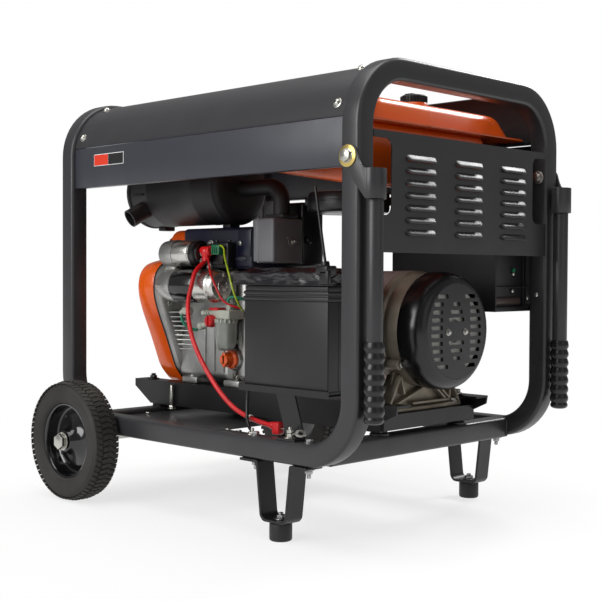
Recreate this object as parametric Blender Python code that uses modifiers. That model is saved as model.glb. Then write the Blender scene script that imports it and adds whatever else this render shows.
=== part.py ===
# Engine driven welder: an open tube frame on two wheels and two feet, carrying a single-cylinder
# engine, an alternator, a fuel tank, a starting battery and a control box.
# Metres, +Z up. Origin on the ground under the middle of the machine. +X is the alternator end.
import math

import bmesh
import bpy
from mathutils import Vector

# ---------------------------------------------------------------- driving dimensions
FRAME_LENGTH = 0.706
FRAME_WIDTH = 0.498
FRAME_TOP = 0.696
RAIL_UNDERSIDE = 0.116
TUBE_SIDE = 0.033
TUBE_CORNER = 0.0055
BEND_OUTER_RADIUS = 0.100
FRAME_SPLIT_X = 0.020
CROSS_BAR_X = 0.2625
BASE_PLATE_THICKNESS = 0.003

GAP = 0.0003
RUNNING_GAP = 0.0008

WHEEL_RADIUS = 0.103
WHEEL_WIDTH = 0.047
WHEEL_X = -0.274
RIM_RADIUS = 0.064
AXLE_RADIUS = 0.008
HUB_RADIUS = 0.019

FOOT_X = 0.190
FOOT_STRIP_WIDTH = 0.034
FOOT_STRIP_THICKNESS = 0.004
FOOT_RUBBER_RADIUS = 0.015
FOOT_RUBBER_HEIGHT = 0.0265

COVER_RADIUS = 0.094
COVER_THICKNESS = 0.0018
COVER_START_ANGLE = 10.3
COVER_END_ANGLE = 75.0
PANEL_BOTTOM = 0.5395
PANEL_TOP = 0.6112

SHIELD_TOP = 0.5905
SHIELD_BOTTOM = 0.4215
SHIELD_THICKNESS = 0.0018
SHIELD_NOTCH_TOP = 0.580
SHIELD_NOTCH_BOTTOM = 0.4737
SHIELD_HALF_WIDTH = 0.177
LOUVRE_ROWS = 7
LOUVRE_PITCH = 0.0176
LOUVRE_TOP_ROW = 0.5557
LOUVRE_LENGTH = 0.070
LOUVRE_COLUMNS = (-0.1115, 0.0045, 0.1220)

TANK_TOP = 0.650
TANK_FLANGE_Z = 0.6113
TANK_FLANGE_THICKNESS = 0.003
TANK_HALF_WIDTH = 0.1955
TANK_FLANGE_HALF_WIDTH = 0.2170
FILLER_X = 0.257
FILLER_Y = -0.012
FILLER_RADIUS = 0.018

CRANK_Z = 0.305
ALTERNATOR_RADIUS = 0.092
ALTERNATOR_COVER_RADIUS = 0.0905
STATOR_BORE_RADIUS = 0.074
ROTOR_RADIUS = 0.070
CRANK_RADIUS = 0.018
FLYWHEEL_RADIUS = 0.112
SHROUD_DEPTH = 0.052
SHROUD_X = -0.2103

MUFFLER_RADIUS = 0.065
MUFFLER_Y = -0.060
MUFFLER_Z = 0.540

BEARER_TOP = 0.197
BEARER_HALF_SPACING = 0.0985
BEARER_WIDTH = 0.031
BEARER_SHEET = 0.003
BEARER_START = -0.3145
BEARER_END = 0.3120

HANDLE_PIVOT_Z = 0.5517
HANDLE_TUBE_X = 0.3695
HANDLE_TUBE_Y = 0.2335
HANDLE_TUBE_RADIUS = 0.012
HANDLE_SHEET = 0.003
GRIP_BOTTOM = {"near": 0.1875, "far": 0.1715}
GRIP_LENGTH = 0.112
GRIP_RADIUS = 0.0150
PIVOT_RADIUS = 0.005

BATTERY_X = (0.094, 0.272)
BATTERY_Y = (-0.221, -0.101)
BATTERY_Z = (0.2165, 0.3735)

CONTROL_X = (0.104, 0.3195)
CONTROL_Y = (0.122, 0.2430)
CONTROL_Z = (0.331, 0.5385)

# ---------------------------------------------------------------- derived dimensions
END_X = FRAME_LENGTH / 2
SIDE_Y = FRAME_WIDTH / 2
POST_X = END_X - TUBE_SIDE / 2
RAIL_Y = SIDE_Y - TUBE_SIDE / 2
RAIL_Z = RAIL_UNDERSIDE + TUBE_SIDE / 2
RAIL_TOP = RAIL_UNDERSIDE + TUBE_SIDE
TOP_BAR_Z = FRAME_TOP - TUBE_SIDE / 2
BEND_RADIUS = BEND_OUTER_RADIUS - TUBE_SIDE / 2
INNER_END_X = END_X - TUBE_SIDE
INNER_SIDE_Y = SIDE_Y - TUBE_SIDE
BEND_CENTRE_Y = SIDE_Y - BEND_OUTER_RADIUS
BEND_CENTRE_Z = FRAME_TOP - BEND_OUTER_RADIUS
COVER_HALF_LENGTH = INNER_END_X - GAP - 0.0002
WHEEL_INNER_Y = SIDE_Y + 0.0045
WHEEL_MID_Y = WHEEL_INNER_Y + WHEEL_WIDTH / 2


# ---------------------------------------------------------------- clean start
for old in list(bpy.data.objects):
    bpy.data.objects.remove(old, do_unlink=True)

PARTS = bpy.data.collections.new("engine_driven_welder")
CUTTERS = bpy.data.collections.new("cutters")
bpy.context.scene.collection.children.link(PARTS)
bpy.context.scene.collection.children.link(CUTTERS)


# ---------------------------------------------------------------- materials
def paint(name, colour, metallic, roughness):
    """One Principled material."""
    made = bpy.data.materials.new(name)
    made.use_nodes = True
    shader = made.node_tree.nodes["Principled BSDF"]
    shader.inputs["Base Color"].default_value = (*colour, 1.0)
    shader.inputs["Metallic"].default_value = metallic
    shader.inputs["Roughness"].default_value = roughness
    return made


CHARCOAL = paint("charcoal_powder_coat", (0.045, 0.050, 0.050), 0.0, 0.45)
PANEL_GREY = paint("panel_powder_coat", (0.070, 0.078, 0.092), 0.0, 0.45)
ORANGE = paint("orange_enamel", (0.86, 0.14, 0.01), 0.0, 0.30)
BLACK = paint("black_enamel", (0.008, 0.008, 0.009), 0.0, 0.35)
HEAT_BLACK = paint("heatproof_black_paint", (0.020, 0.018, 0.018), 0.0, 0.60)
CAST_ALUMINIUM = paint("cast_aluminium", (0.42, 0.41, 0.40), 1.0, 0.45)
STEEL = paint("machined_steel", (0.50, 0.50, 0.50), 1.0, 0.35)
ZINC = paint("zinc_plated_steel", (0.62, 0.61, 0.55), 1.0, 0.30)
RUBBER = paint("black_rubber", (0.015, 0.015, 0.015), 0.0, 0.80)
TYRE_RUBBER = paint("tyre_rubber", (0.030, 0.029, 0.028), 0.0, 0.85)
BLACK_PLASTIC = paint("black_plastic", (0.012, 0.012, 0.013), 0.0, 0.45)
RED_PLASTIC = paint("red_pvc", (0.60, 0.02, 0.015), 0.0, 0.40)
CLEAR_PLASTIC = paint("pale_filter_plastic", (0.55, 0.56, 0.50), 0.0, 0.25)
BRASS = paint("brass", (0.60, 0.42, 0.16), 1.0, 0.30)


# ---------------------------------------------------------------- helpers
def add_mesh(name, build, material, collection=None):
    """A mesh object from a bmesh, in world coordinates, with its normals outwards."""
    build.normal_update()
    bmesh.ops.recalc_face_normals(build, faces=build.faces[:])
    if build.calc_volume(signed=True) < 0:
        bmesh.ops.reverse_faces(build, faces=build.faces[:])
    data = bpy.data.meshes.new(name)
    build.to_mesh(data)
    build.free()
    if material:
        data.materials.append(material)
    made = bpy.data.objects.new(name, data)
    (collection or PARTS).objects.link(made)
    return made


def smooth(piece):
    """Round faces shaded smooth."""
    for face in piece.data.polygons:
        face.use_smooth = True
    return piece


def box(name, x, y, z, material=None, bevel=0.0, segments=1):
    """A block between two numbers on each axis."""
    build = bmesh.new()
    bmesh.ops.create_cube(build, size=1.0)
    for vertex in build.verts:
        vertex.co = Vector((
            x[0] if vertex.co.x < 0 else x[1],
            y[0] if vertex.co.y < 0 else y[1],
            z[0] if vertex.co.z < 0 else z[1],
        ))
    made = add_mesh(name, build, material)
    if bevel:
        round_edges(made, bevel, segments)
    return made


def round_edges(piece, width, segments=1, angle=40):
    """A bevel on the sharp edges."""
    edge = piece.modifiers.new("edge", "BEVEL")
    edge.width = width
    edge.segments = segments
    edge.limit_method = "ANGLE"
    edge.angle_limit = math.radians(angle)
    return piece


def along(direction, centre, points):
    """Points built about +Z, turned so +Z lies along the direction, then moved."""
    turn = Vector((0, 0, 1)).rotation_difference(Vector(direction))
    return [turn @ Vector(point) + Vector(centre) for point in points]


def cylinder(name, centre, direction, radius, length, material=None, sides=24, radius_end=None):
    """A rod starting at centre and running along the direction."""
    build = bmesh.new()
    far = radius if radius_end is None else radius_end
    bmesh.ops.create_cone(
        build, cap_ends=True, segments=sides, radius1=radius, radius2=far, depth=length
    )
    moved = along(direction, centre, [v.co + Vector((0, 0, length / 2)) for v in build.verts])
    for vertex, place in zip(build.verts, moved):
        vertex.co = place
    return add_mesh(name, build, material)


def lathe(name, profile, centre, direction, material=None, steps=32):
    """A profile of (radius, height) turned about an axis through centre."""
    data = bpy.data.meshes.new(name)
    edges = [(i, i + 1) for i in range(len(profile) - 1)]
    closed = profile[0][0] > 1e-6
    if closed:
        edges.append((len(profile) - 1, 0))
    data.from_pydata([(r, 0.0, h) for r, h in profile], edges, [])
    turned = bpy.data.objects.new(name, data)
    PARTS.objects.link(turned)
    screw = turned.modifiers.new("turn", "SCREW")
    screw.angle = math.tau
    screw.steps = steps
    screw.render_steps = steps
    screw.use_merge_vertices = True
    screw.merge_threshold = 0.00001
    screw.use_smooth_shade = True
    made = baked(turned, name, material)
    for vertex, place in zip(made.data.vertices, along(
            direction, centre, [v.co.copy() for v in made.data.vertices])):
        vertex.co = place
    return made


def baked(piece, name, material):
    """The piece with its modifiers applied, as a clean outward mesh in world coordinates."""
    graph = bpy.context.evaluated_depsgraph_get()
    data = bpy.data.meshes.new_from_object(piece.evaluated_get(graph))
    data.transform(piece.matrix_world)
    bpy.data.objects.remove(piece, do_unlink=True)
    build = bmesh.new()
    build.from_mesh(data)
    bmesh.ops.remove_doubles(build, verts=build.verts[:], dist=0.00001)
    bmesh.ops.dissolve_degenerate(build, edges=build.edges[:], dist=0.000001)
    made = add_mesh(name, build, material)
    return smooth(made)


def extrude_outline(name, outline, axis, start, end, material=None):
    """A flat outline pushed along an axis. Outline pairs are the two other axes, in order."""
    build = bmesh.new()
    order = {"X": (1, 2, 0), "Y": (0, 2, 1), "Z": (0, 1, 2)}[axis]
    corners = []
    for first, second in outline:
        place = [0.0, 0.0, 0.0]
        place[order[0]] = first
        place[order[1]] = second
        place[order[2]] = start
        corners.append(build.verts.new(place))
    base = build.faces.new(corners)
    pushed = bmesh.ops.extrude_face_region(build, geom=[base])
    step = Vector((0, 0, 0))
    step[order[2]] = end - start
    moved = [item for item in pushed["geom"] if isinstance(item, bmesh.types.BMVert)]
    bmesh.ops.translate(build, verts=moved, vec=step)
    return add_mesh(name, build, material)


def loft(name, rings, material=None):
    """A skin through rings of equal point counts, closed at both ends."""
    build = bmesh.new()
    rows = [[build.verts.new(point) for point in ring] for ring in rings]
    count = len(rows[0])
    for lower, upper in zip(rows, rows[1:]):
        for i in range(count):
            j = (i + 1) % count
            build.faces.new((lower[i], lower[j], upper[j], upper[i]))
    build.faces.new(rows[0])
    build.faces.new(rows[-1])
    return add_mesh(name, build, material)


def rounded_rectangle(half_a, half_b, corner, steps=3):
    """Corner points of a rectangle with round corners, centred, as pairs."""
    pairs = []
    for sign_a, sign_b, start in ((1, 1, 0), (-1, 1, 90), (-1, -1, 180), (1, -1, 270)):
        for step in range(steps):
            angle = math.radians(start + 90 * step / (steps - 1))
            pairs.append((
                sign_a * (half_a - corner) + corner * math.cos(angle),
                sign_b * (half_b - corner) + corner * math.sin(angle),
            ))
    return pairs


def route(corners, radius, steps):
    """A path with rounded corners, as (point, direction) pairs."""
    corners = [Vector(corner) for corner in corners]
    stations = [(corners[0], (corners[1] - corners[0]).normalized())]
    for before, corner, after in zip(corners, corners[1:], corners[2:]):
        come = (corner - before).normalized()
        leave = (after - corner).normalized()
        half_turn = come.angle(leave) / 2
        reach = radius * math.tan(half_turn)
        centre = corner - come * reach + (leave - come * come.dot(leave)).normalized() * radius
        spoke = corner - come * reach - centre
        axis = come.cross(leave).normalized()
        for step in range(steps + 1):
            angle = 2 * half_turn * step / steps
            swing = spoke * math.cos(angle) + axis.cross(spoke) * math.sin(angle)
            heading = come * math.cos(angle) + axis.cross(come) * math.sin(angle)
            stations.append((centre + swing, heading.normalized()))
    stations.append((corners[-1], (corners[-1] - corners[-2]).normalized()))
    return stations


def sweep(name, stations, section, first_side, material=None):
    """A section of pairs carried along a path without twisting."""
    rings = []
    side = Vector(first_side).normalized()
    heading = stations[0][1]
    for point, direction in stations:
        side = heading.rotation_difference(direction) @ side
        side = (side - direction * side.dot(direction)).normalized()
        heading = direction
        other = direction.cross(side)
        rings.append([point + side * a + other * b for a, b in section])
    return loft(name, rings, material)


def circle_section(radius, sides):
    """A round section as pairs."""
    return [
        (radius * math.cos(math.tau * i / sides), radius * math.sin(math.tau * i / sides))
        for i in range(sides)
    ]


def put_away(tool):
    """A Boolean tool stays in the cutters collection, unseen."""
    for home in list(tool.users_collection):
        home.objects.unlink(tool)
    CUTTERS.objects.link(tool)
    tool.hide_render = True
    tool.display_type = "WIRE"


def combine(piece, tools, operation):
    """Booleans on a piece, one tool after another."""
    for tool in tools:
        step = piece.modifiers.new(tool.name, "BOOLEAN")
        step.operation = operation
        step.solver = "EXACT"
        step.object = tool
        put_away(tool)
    return piece


def join(piece, *tools):
    """The piece with the tools welded on."""
    return combine(piece, tools, "UNION")


def cut(piece, *tools):
    """The piece with the tools taken away."""
    return combine(piece, tools, "DIFFERENCE")


def pivot_at(piece, point):
    """The origin of a moving piece moved onto its joint axis, the shape staying put."""
    place = Vector(point)
    for vertex in piece.data.vertices:
        vertex.co -= place
    piece.location = place
    return piece


def hex_head(name, centre, direction, across_flats, height, material=None):
    """A hexagon bolt head or nut."""
    return cylinder(
        name, centre, direction, across_flats / math.sqrt(3), height, material, sides=6
    )


# ---------------------------------------------------------------- frame
def frame_half(name, sign, start_x):
    """Half of the tube loop: two half rails, two posts and one top bar."""
    end = sign * POST_X
    corners = [
        (start_x, -RAIL_Y, RAIL_Z),
        (end, -RAIL_Y, RAIL_Z),
        (end, -RAIL_Y, TOP_BAR_Z),
        (end, RAIL_Y, TOP_BAR_Z),
        (end, RAIL_Y, RAIL_Z),
        (start_x, RAIL_Y, RAIL_Z),
    ]
    section = rounded_rectangle(TUBE_SIDE / 2, TUBE_SIDE / 2, TUBE_CORNER)
    return sweep(name, route(corners, BEND_RADIUS, 6), section, (0, 0, 1), CHARCOAL)


def cross_bar(name, x):
    """A square bar let into both rails."""
    return box(
        name,
        (x - TUBE_SIDE / 2, x + TUBE_SIDE / 2),
        (-RAIL_Y, RAIL_Y),
        (RAIL_UNDERSIDE + 0.0007, RAIL_TOP - 0.0007),
        CHARCOAL,
    )


frame_wheel_end = frame_half("frame_wheel_end", -1, FRAME_SPLIT_X - GAP)
join(
    frame_wheel_end,
    cross_bar("wheel_end_cross_bar", -CROSS_BAR_X),
    box(
        "base_plate",
        (-CROSS_BAR_X, 0.012),
        (-RAIL_Y, RAIL_Y),
        (RAIL_TOP - 0.010, RAIL_TOP - 0.010 + BASE_PLATE_THICKNESS),
        CHARCOAL,
    ),
)
frame_alternator_end = frame_half("frame_alternator_end", 1, FRAME_SPLIT_X)
join(frame_alternator_end, cross_bar("alternator_end_cross_bar", CROSS_BAR_X))


# ---------------------------------------------------------------- engine subframe and its mounts
def bearer(name, side):
    """A bent channel with a top flange and a web that tapers at both ends."""
    inner = side * (BEARER_HALF_SPACING - BEARER_WIDTH / 2)
    outer = side * (BEARER_HALF_SPACING + BEARER_WIDTH / 2)
    web_outline = [
        (BEARER_START, BEARER_TOP),
        (BEARER_START, BEARER_TOP - 0.013),
        (BEARER_START + 0.045, BEARER_TOP - 0.042),
        (BEARER_END - 0.032, BEARER_TOP - 0.042),
        (BEARER_END - 0.030, BEARER_TOP - 0.026),
        (BEARER_END - 0.002, BEARER_TOP - 0.013),
        (BEARER_END, BEARER_TOP),
    ]
    web = extrude_outline(name, web_outline, "Y", outer - side * BEARER_SHEET, outer, BLACK)
    flange = box(
        f"{name}_flange",
        (BEARER_START, BEARER_END),
        sorted((inner, outer - side * 0.0001)),
        (BEARER_TOP - BEARER_SHEET, BEARER_TOP - 0.00005),
    )
    return join(web, flange)


SEAT_TOP = 0.1805
SEAT_SHEET = 0.004
engine_subframe = bearer("engine_subframe", -1)
far_bearer = baked(bearer("far_bearer", 1), "far_bearer", BLACK)
seat_half = BEARER_HALF_SPACING + BEARER_WIDTH / 2 - 0.0015
alternator_seat = box("alternator_seat", (0.238, 0.2855), (-seat_half, seat_half), (0.1575, SEAT_TOP))
seat_hollow = box(
    "seat_hollow", (0.242, 0.2815), (-seat_half + 0.002, seat_half - 0.002), (0.150, SEAT_TOP - SEAT_SHEET)
)
front_seat = box("front_seat", (-0.152, -0.134), (-seat_half, seat_half), (0.1575, SEAT_TOP))
# The top flanges are cut back where the alternator's foot stands between them.
flange_notch = box(
    "flange_notch", (0.2375, 0.2850), (-0.0935, 0.0935),
    (BEARER_TOP - BEARER_SHEET - 0.001, BEARER_TOP + 0.001)
)
engine_subframe = cut(
    join(engine_subframe, alternator_seat, far_bearer, front_seat),
    seat_hollow,
    flange_notch,
)

MOUNTS = {
    "mount_near_wheel_end": (-CROSS_BAR_X, -BEARER_HALF_SPACING),
    "mount_far_wheel_end": (-CROSS_BAR_X, BEARER_HALF_SPACING),
    "mount_near_alternator_end": (CROSS_BAR_X - 0.0005, -BEARER_HALF_SPACING),
    "mount_far_alternator_end": (CROSS_BAR_X - 0.0005, BEARER_HALF_SPACING),
}
MOUNT_BASE = RAIL_TOP - 0.0007 + GAP
MOUNT_TOP = BEARER_TOP - BEARER_SHEET - GAP
for mount_name, (mount_x, mount_y) in MOUNTS.items():
    mount_height = (MOUNT_TOP if mount_x < 0 else SEAT_TOP - SEAT_SHEET - GAP) - MOUNT_BASE
    waist = mount_height / 2
    lathe(
        mount_name,
        [
            (0.0, mount_height),
            (0.0125, mount_height),
            (0.0125, waist + 0.009),
            (0.0105, waist),
            (0.0125, waist - 0.009),
            (0.0150, 0.003),
            (0.0150, 0.0),
            (0.0, 0.0),
        ],
        (mount_x, mount_y + (0.0015 if mount_y < 0 else -0.0015) * 2, MOUNT_BASE),
        (0, 0, 1),
        RUBBER,
        steps=16,
    )


# ---------------------------------------------------------------- engine
def arc(centre, radius, start, end, steps):
    """Points of an arc in degrees, as pairs."""
    return [
        (
            centre[0] + radius * math.cos(math.radians(start + (end - start) * i / steps)),
            centre[1] + radius * math.sin(math.radians(start + (end - start) * i / steps)),
        )
        for i in range(steps + 1)
    ]


def grown(outline, distance):
    """A closed outline with every side moved outwards by the distance."""
    count = len(outline)
    turning = sum(
        outline[i - 1][0] * outline[i][1] - outline[i][0] * outline[i - 1][1] for i in range(count)
    )
    sign = 1 if turning > 0 else -1
    moved = []
    for i in range(count):
        before, here, after = outline[i - 1], outline[i], outline[(i + 1) % count]
        first = Vector((here[1] - before[1], before[0] - here[0])).normalized() * sign
        second = Vector((after[1] - here[1], here[0] - after[0])).normalized() * sign
        middle = (first + second) / (1 + first.dot(second))
        moved.append((here[0] + middle.x * distance, here[1] + middle.y * distance))
    return moved


FAN_CASE_RADIUS = 0.133
STARTER_LOBE = [
    (-0.050, 0.1790), (-0.080, 0.1965), (-0.103, 0.2220), (-0.118, 0.2620), (-0.130, 0.2920),
    (-0.143, 0.3220), (-0.1520, 0.3500), (-0.1535, 0.3720), (-0.1490, 0.3920), (-0.1370, 0.4060),
    (-0.1200, 0.4120), (-0.1000, 0.4160),
]


def shroud_outline(grow):
    """The outline of the flywheel housing across the machine: a round fan case, a lobe over the
    starter pinion and a duct up to the cylinder. Pairs are (y, z)."""
    duct = [(-0.0680, 0.4700), (0.0850, 0.4700)]
    case = arc((0.0, CRANK_Z - 0.0025), FAN_CASE_RADIUS, 25, -100, 9)
    return grown(STARTER_LOBE + duct + case, grow)


fan_shroud = extrude_outline(
    "fan_shroud", shroud_outline(0.0), "X", SHROUD_X + 0.015, SHROUD_X - SHROUD_DEPTH, ORANGE
)
round_edges(fan_shroud, 0.010, 2, 60)
fan_shroud = baked(fan_shroud, "fan_shroud", ORANGE)
shroud_hollow = extrude_outline(
    "shroud_hollow", shroud_outline(-0.003), "X", SHROUD_X + 0.001, SHROUD_X - SHROUD_DEPTH + 0.008
)
inlet_slots = [
    box(
        f"inlet_slot_{i}",
        (SHROUD_X - SHROUD_DEPTH - 0.01, SHROUD_X - SHROUD_DEPTH + 0.02),
        (-half, half),
        (CRANK_Z + height - 0.004, CRANK_Z + height + 0.004),
    )
    for i, (height, half) in enumerate(
        [(-0.048, 0.035), (-0.032, 0.050), (-0.016, 0.058), (0.0, 0.060), (0.016, 0.058),
         (0.032, 0.050), (0.048, 0.035)]
    )
]
shroud_back = box("shroud_back", (SHROUD_X, SHROUD_X + 0.03), (-0.2, 0.2), (0.1, 0.5))
cut(fan_shroud, shroud_back, shroud_hollow, *inlet_slots)

crankcase = box("crankcase", (-0.204, -0.027), (-0.104, 0.104), (0.2003 + 0.004, 0.398), CAST_ALUMINIUM,
                0.014, 2)
crankcase = baked(crankcase, "crankcase", CAST_ALUMINIUM)
housing_flange = extrude_outline(
    "housing_flange", shroud_outline(0.0), "X", SHROUD_X + GAP, SHROUD_X + GAP + 0.014
)
engine_feet = [
    box(f"engine_foot_{i}", x, (-0.106, 0.106), (BEARER_TOP + GAP, BEARER_TOP + 0.012))
    for i, x in enumerate([(-0.190, -0.150), (-0.080, -0.040)])
]
crankcase_bore = cylinder(
    "crankcase_bore", (-0.25, 0, CRANK_Z), (1, 0, 0), CRANK_RADIUS + RUNNING_GAP, 0.30, sides=32
)
starter_pocket = cylinder(
    "starter_pocket", (-0.215, -0.1345, 0.370), (1, 0, 0), 0.0145, 0.03, sides=24
)
cooling_mouth = box("cooling_mouth", (-0.22, -0.190), (-0.080, 0.070), (0.404, 0.462))
cut(join(crankcase, housing_flange, *engine_feet), crankcase_bore, starter_pocket, cooling_mouth)

flywheel = lathe(
    "flywheel",
    [
        (CRANK_RADIUS + GAP, 0.0),
        (CRANK_RADIUS + GAP, 0.028),
        (0.040, 0.028),
        (0.048, 0.018),
        (0.104, 0.018),
        (0.104, 0.010),
        (FLYWHEEL_RADIUS, 0.010),
        (FLYWHEEL_RADIUS, 0.0),
    ],
    (-0.2135, 0, CRANK_Z),
    (-1, 0, 0),
    STEEL,
    steps=32,
)
vanes = [
    box(
        f"fan_vane_{i}",
        (-0.2440, -0.2300),
        (-0.002, 0.002),
        (0.052, 0.098),
    )
    for i in range(10)
]
for i, vane in enumerate(vanes):
    turn = math.tau * i / len(vanes)
    for vertex in vane.data.vertices:
        y, z = vertex.co.y, vertex.co.z
        vertex.co.y = y * math.cos(turn) - z * math.sin(turn)
        vertex.co.z = y * math.sin(turn) + z * math.cos(turn) + CRANK_Z
join(flywheel, *vanes)

crankshaft = lathe(
    "crankshaft",
    [
        (0.0, 0.0),
        (0.014, 0.0),
        (CRANK_RADIUS, 0.004),
        (CRANK_RADIUS, 0.255),
        (0.0165, 0.262),
        (0.0165, 0.490),
        (0.010, 0.492),
        (0.010, 0.530),
        (0.0, 0.530),
    ],
    (-0.2490, 0, CRANK_Z),
    (1, 0, 0),
    STEEL,
    steps=24,
)

cylinder_duct = box(
    "cylinder_duct", (-0.1956, -0.0155), (-0.100, 0.078), (0.3983, 0.470), BLACK, 0.006, 1
)
head_cover = box("head_cover", (-0.0150, 0.0355), (-0.100, -0.030), (0.4095, 0.4835), CAST_ALUMINIUM,
                 0.004, 2)
head_stud = hex_head("head_stud", (0.0325, -0.056, 0.4450), (1, 0, 0), 0.011, 0.0095)
join(head_cover, head_stud)

air_cleaner = lathe(
    "air_cleaner",
    [
        (0.0, 0.039),
        (0.058, 0.039),
        (0.067, 0.032),
        (0.068, 0.010),
        (0.060, 0.0),
        (0.0, 0.0),
    ],
    (0.115, -0.005, 0.4905),
    (0, 0, 1),
    BLACK_PLASTIC,
    steps=32,
)
intake_duct = box("intake_duct", (-0.012, 0.034), (-0.0294, 0.022), (0.405, 0.512))
intake_neck = box("intake_neck", (0.020, 0.080), (-0.020, 0.015), (0.4935, 0.511))
join(air_cleaner, intake_neck, intake_duct)

muffler = lathe(
    "muffler",
    [
        (0.0, 0.0),
        (0.045, 0.0),
        (0.060, 0.004),
        (MUFFLER_RADIUS, 0.013),
        (MUFFLER_RADIUS, 0.243),
        (0.062, 0.250),
        (0.050, 0.255),
        (0.0, 0.257),
    ],
    (-0.338, MUFFLER_Y, MUFFLER_Z),
    (1, 0, 0),
    HEAT_BLACK,
    steps=28,
)
OUTLET_DIRECTION = Vector((-0.20, -0.85, -0.50)).normalized()
OUTLET_MOUTH = Vector((-0.297, -0.140, 0.4895))
outlet_root = OUTLET_MOUTH - OUTLET_DIRECTION * 0.060
outlet_pipe = cylinder("outlet_pipe", outlet_root, OUTLET_DIRECTION, 0.0165, 0.060, sides=20)
outlet_bore = cylinder(
    "outlet_bore", OUTLET_MOUTH - OUTLET_DIRECTION * 0.040, OUTLET_DIRECTION, 0.0145, 0.060, sides=20
)
exhaust_route = route(
    [(-0.100, -0.058, 0.538), (0.012, -0.058, 0.538), (0.012, -0.058, 0.4838)], 0.026, 5
)
exhaust_elbow = sweep("exhaust_elbow", exhaust_route, circle_section(0.014, 16), (0, 0, 1))
cut(join(muffler, outlet_pipe, exhaust_elbow), outlet_bore)

starter = lathe(
    "starter_motor",
    [
        (0.0, 0.0),
        (0.0140, 0.0),
        (0.0140, 0.016),
        (0.0290, 0.018),
        (0.0290, 0.098),
        (0.0275, 0.100),
        (0.0275, 0.150),
        (0.0220, 0.158),
        (0.0, 0.160),
    ],
    (-0.2080, -0.1345, 0.370),
    (1, 0, 0),
    BLACK,
    steps=28,
)
solenoid = lathe(
    "solenoid",
    [
        (0.0, 0.0),
        (0.0235, 0.0),
        (0.0235, 0.068),
        (0.0220, 0.070),
        (0.0220, 0.088),
        (0.0180, 0.092),
        (0.0, 0.092),
    ],
    (-0.1955, -0.1300, 0.4250),
    (1, 0, 0),
    ZINC,
    steps=28,
)
terminal_boot = box("terminal_boot", (-0.1030, -0.0820), (-0.141, -0.124), (0.420, 0.437), RED_PLASTIC,
                    0.004, 2)

fuel_filter = lathe(
    "fuel_filter",
    [
        (0.0, 0.052),
        (0.017, 0.052),
        (0.019, 0.046),
        (0.019, 0.014),
        (0.012, 0.002),
        (0.0, 0.0),
    ],
    (-0.050, -0.1265, 0.262),
    (0, 0, 1),
    CLEAR_PLASTIC,
    steps=20,
)
filter_head = box("filter_head", (-0.072, -0.028), (-0.140, -0.1043), (0.312, 0.330))
join(fuel_filter, filter_head)

oil_plug = lathe(
    "oil_plug",
    [
        (0.0, 0.024),
        (0.013, 0.024),
        (0.0155, 0.020),
        (0.0155, 0.008),
        (0.008, 0.006),
        (0.008, 0.0),
        (0.0, 0.0),
    ],
    (-0.055, -0.1043, 0.246),
    (0, -1, 0),
    ORANGE,
    steps=20,
)

# ---------------------------------------------------------------- alternator
alternator_bell = lathe(
    "alternator_bell",
    [
        (0.088, 0.0),
        (0.088, 0.012),
        (ALTERNATOR_RADIUS, 0.060),
        (ALTERNATOR_RADIUS, 0.0715),
        (STATOR_BORE_RADIUS, 0.0715),
        (0.055, 0.010),
        (0.024, 0.008),
        (0.024, 0.0),
    ],
    (-0.0267, 0, CRANK_Z),
    (1, 0, 0),
    CAST_ALUMINIUM,
    steps=32,
)
stator_drum = lathe(
    "stator_drum",
    [
        (STATOR_BORE_RADIUS, 0.0),
        (ALTERNATOR_RADIUS - 0.004, 0.0),
        (ALTERNATOR_RADIUS - 0.004, 0.020),
        (ALTERNATOR_RADIUS, 0.022),
        (ALTERNATOR_RADIUS, 0.170),
        (ALTERNATOR_RADIUS - 0.004, 0.172),
        (ALTERNATOR_RADIUS - 0.004, 0.199),
        (STATOR_BORE_RADIUS, 0.199),
    ],
    (0.0452, 0, CRANK_Z),
    (1, 0, 0),
    CAST_ALUMINIUM,
    steps=32,
)
end_bracket = lathe(
    "alternator_end_bracket",
    [
        (0.0175, 0.049),
        (0.0866, 0.049),
        (0.0866, 0.030),
        (ALTERNATOR_RADIUS, 0.026),
        (ALTERNATOR_RADIUS, 0.0),
        (STATOR_BORE_RADIUS, 0.0),
        (STATOR_BORE_RADIUS, 0.020),
        (0.030, 0.034),
        (0.0175, 0.034),
    ],
    (0.2447, 0, CRANK_Z),
    (1, 0, 0),
    CAST_ALUMINIUM,
    steps=32,
)
foot_outline = [
    (-0.091, SEAT_TOP + GAP),
    (-0.091, SEAT_TOP + 0.008),
    (-0.052, 0.228),
    (0.052, 0.228),
    (0.091, SEAT_TOP + 0.008),
    (0.091, SEAT_TOP + GAP),
]
bracket_foot = extrude_outline("bracket_foot", foot_outline, "X", 0.2465, 0.2760)
foot_windows = [
    extrude_outline(
        f"foot_window_{i}",
        [(y - 0.017, SEAT_TOP + 0.007), (y + 0.017, SEAT_TOP + 0.007), (y, SEAT_TOP + 0.030)],
        "X", 0.24, 0.30,
    )
    for i, y in enumerate((-0.042, 0.0, 0.042))
]
bracket_foot = baked(cut(bracket_foot, *foot_windows), "bracket_foot", CAST_ALUMINIUM)
join(end_bracket, bracket_foot)

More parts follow.
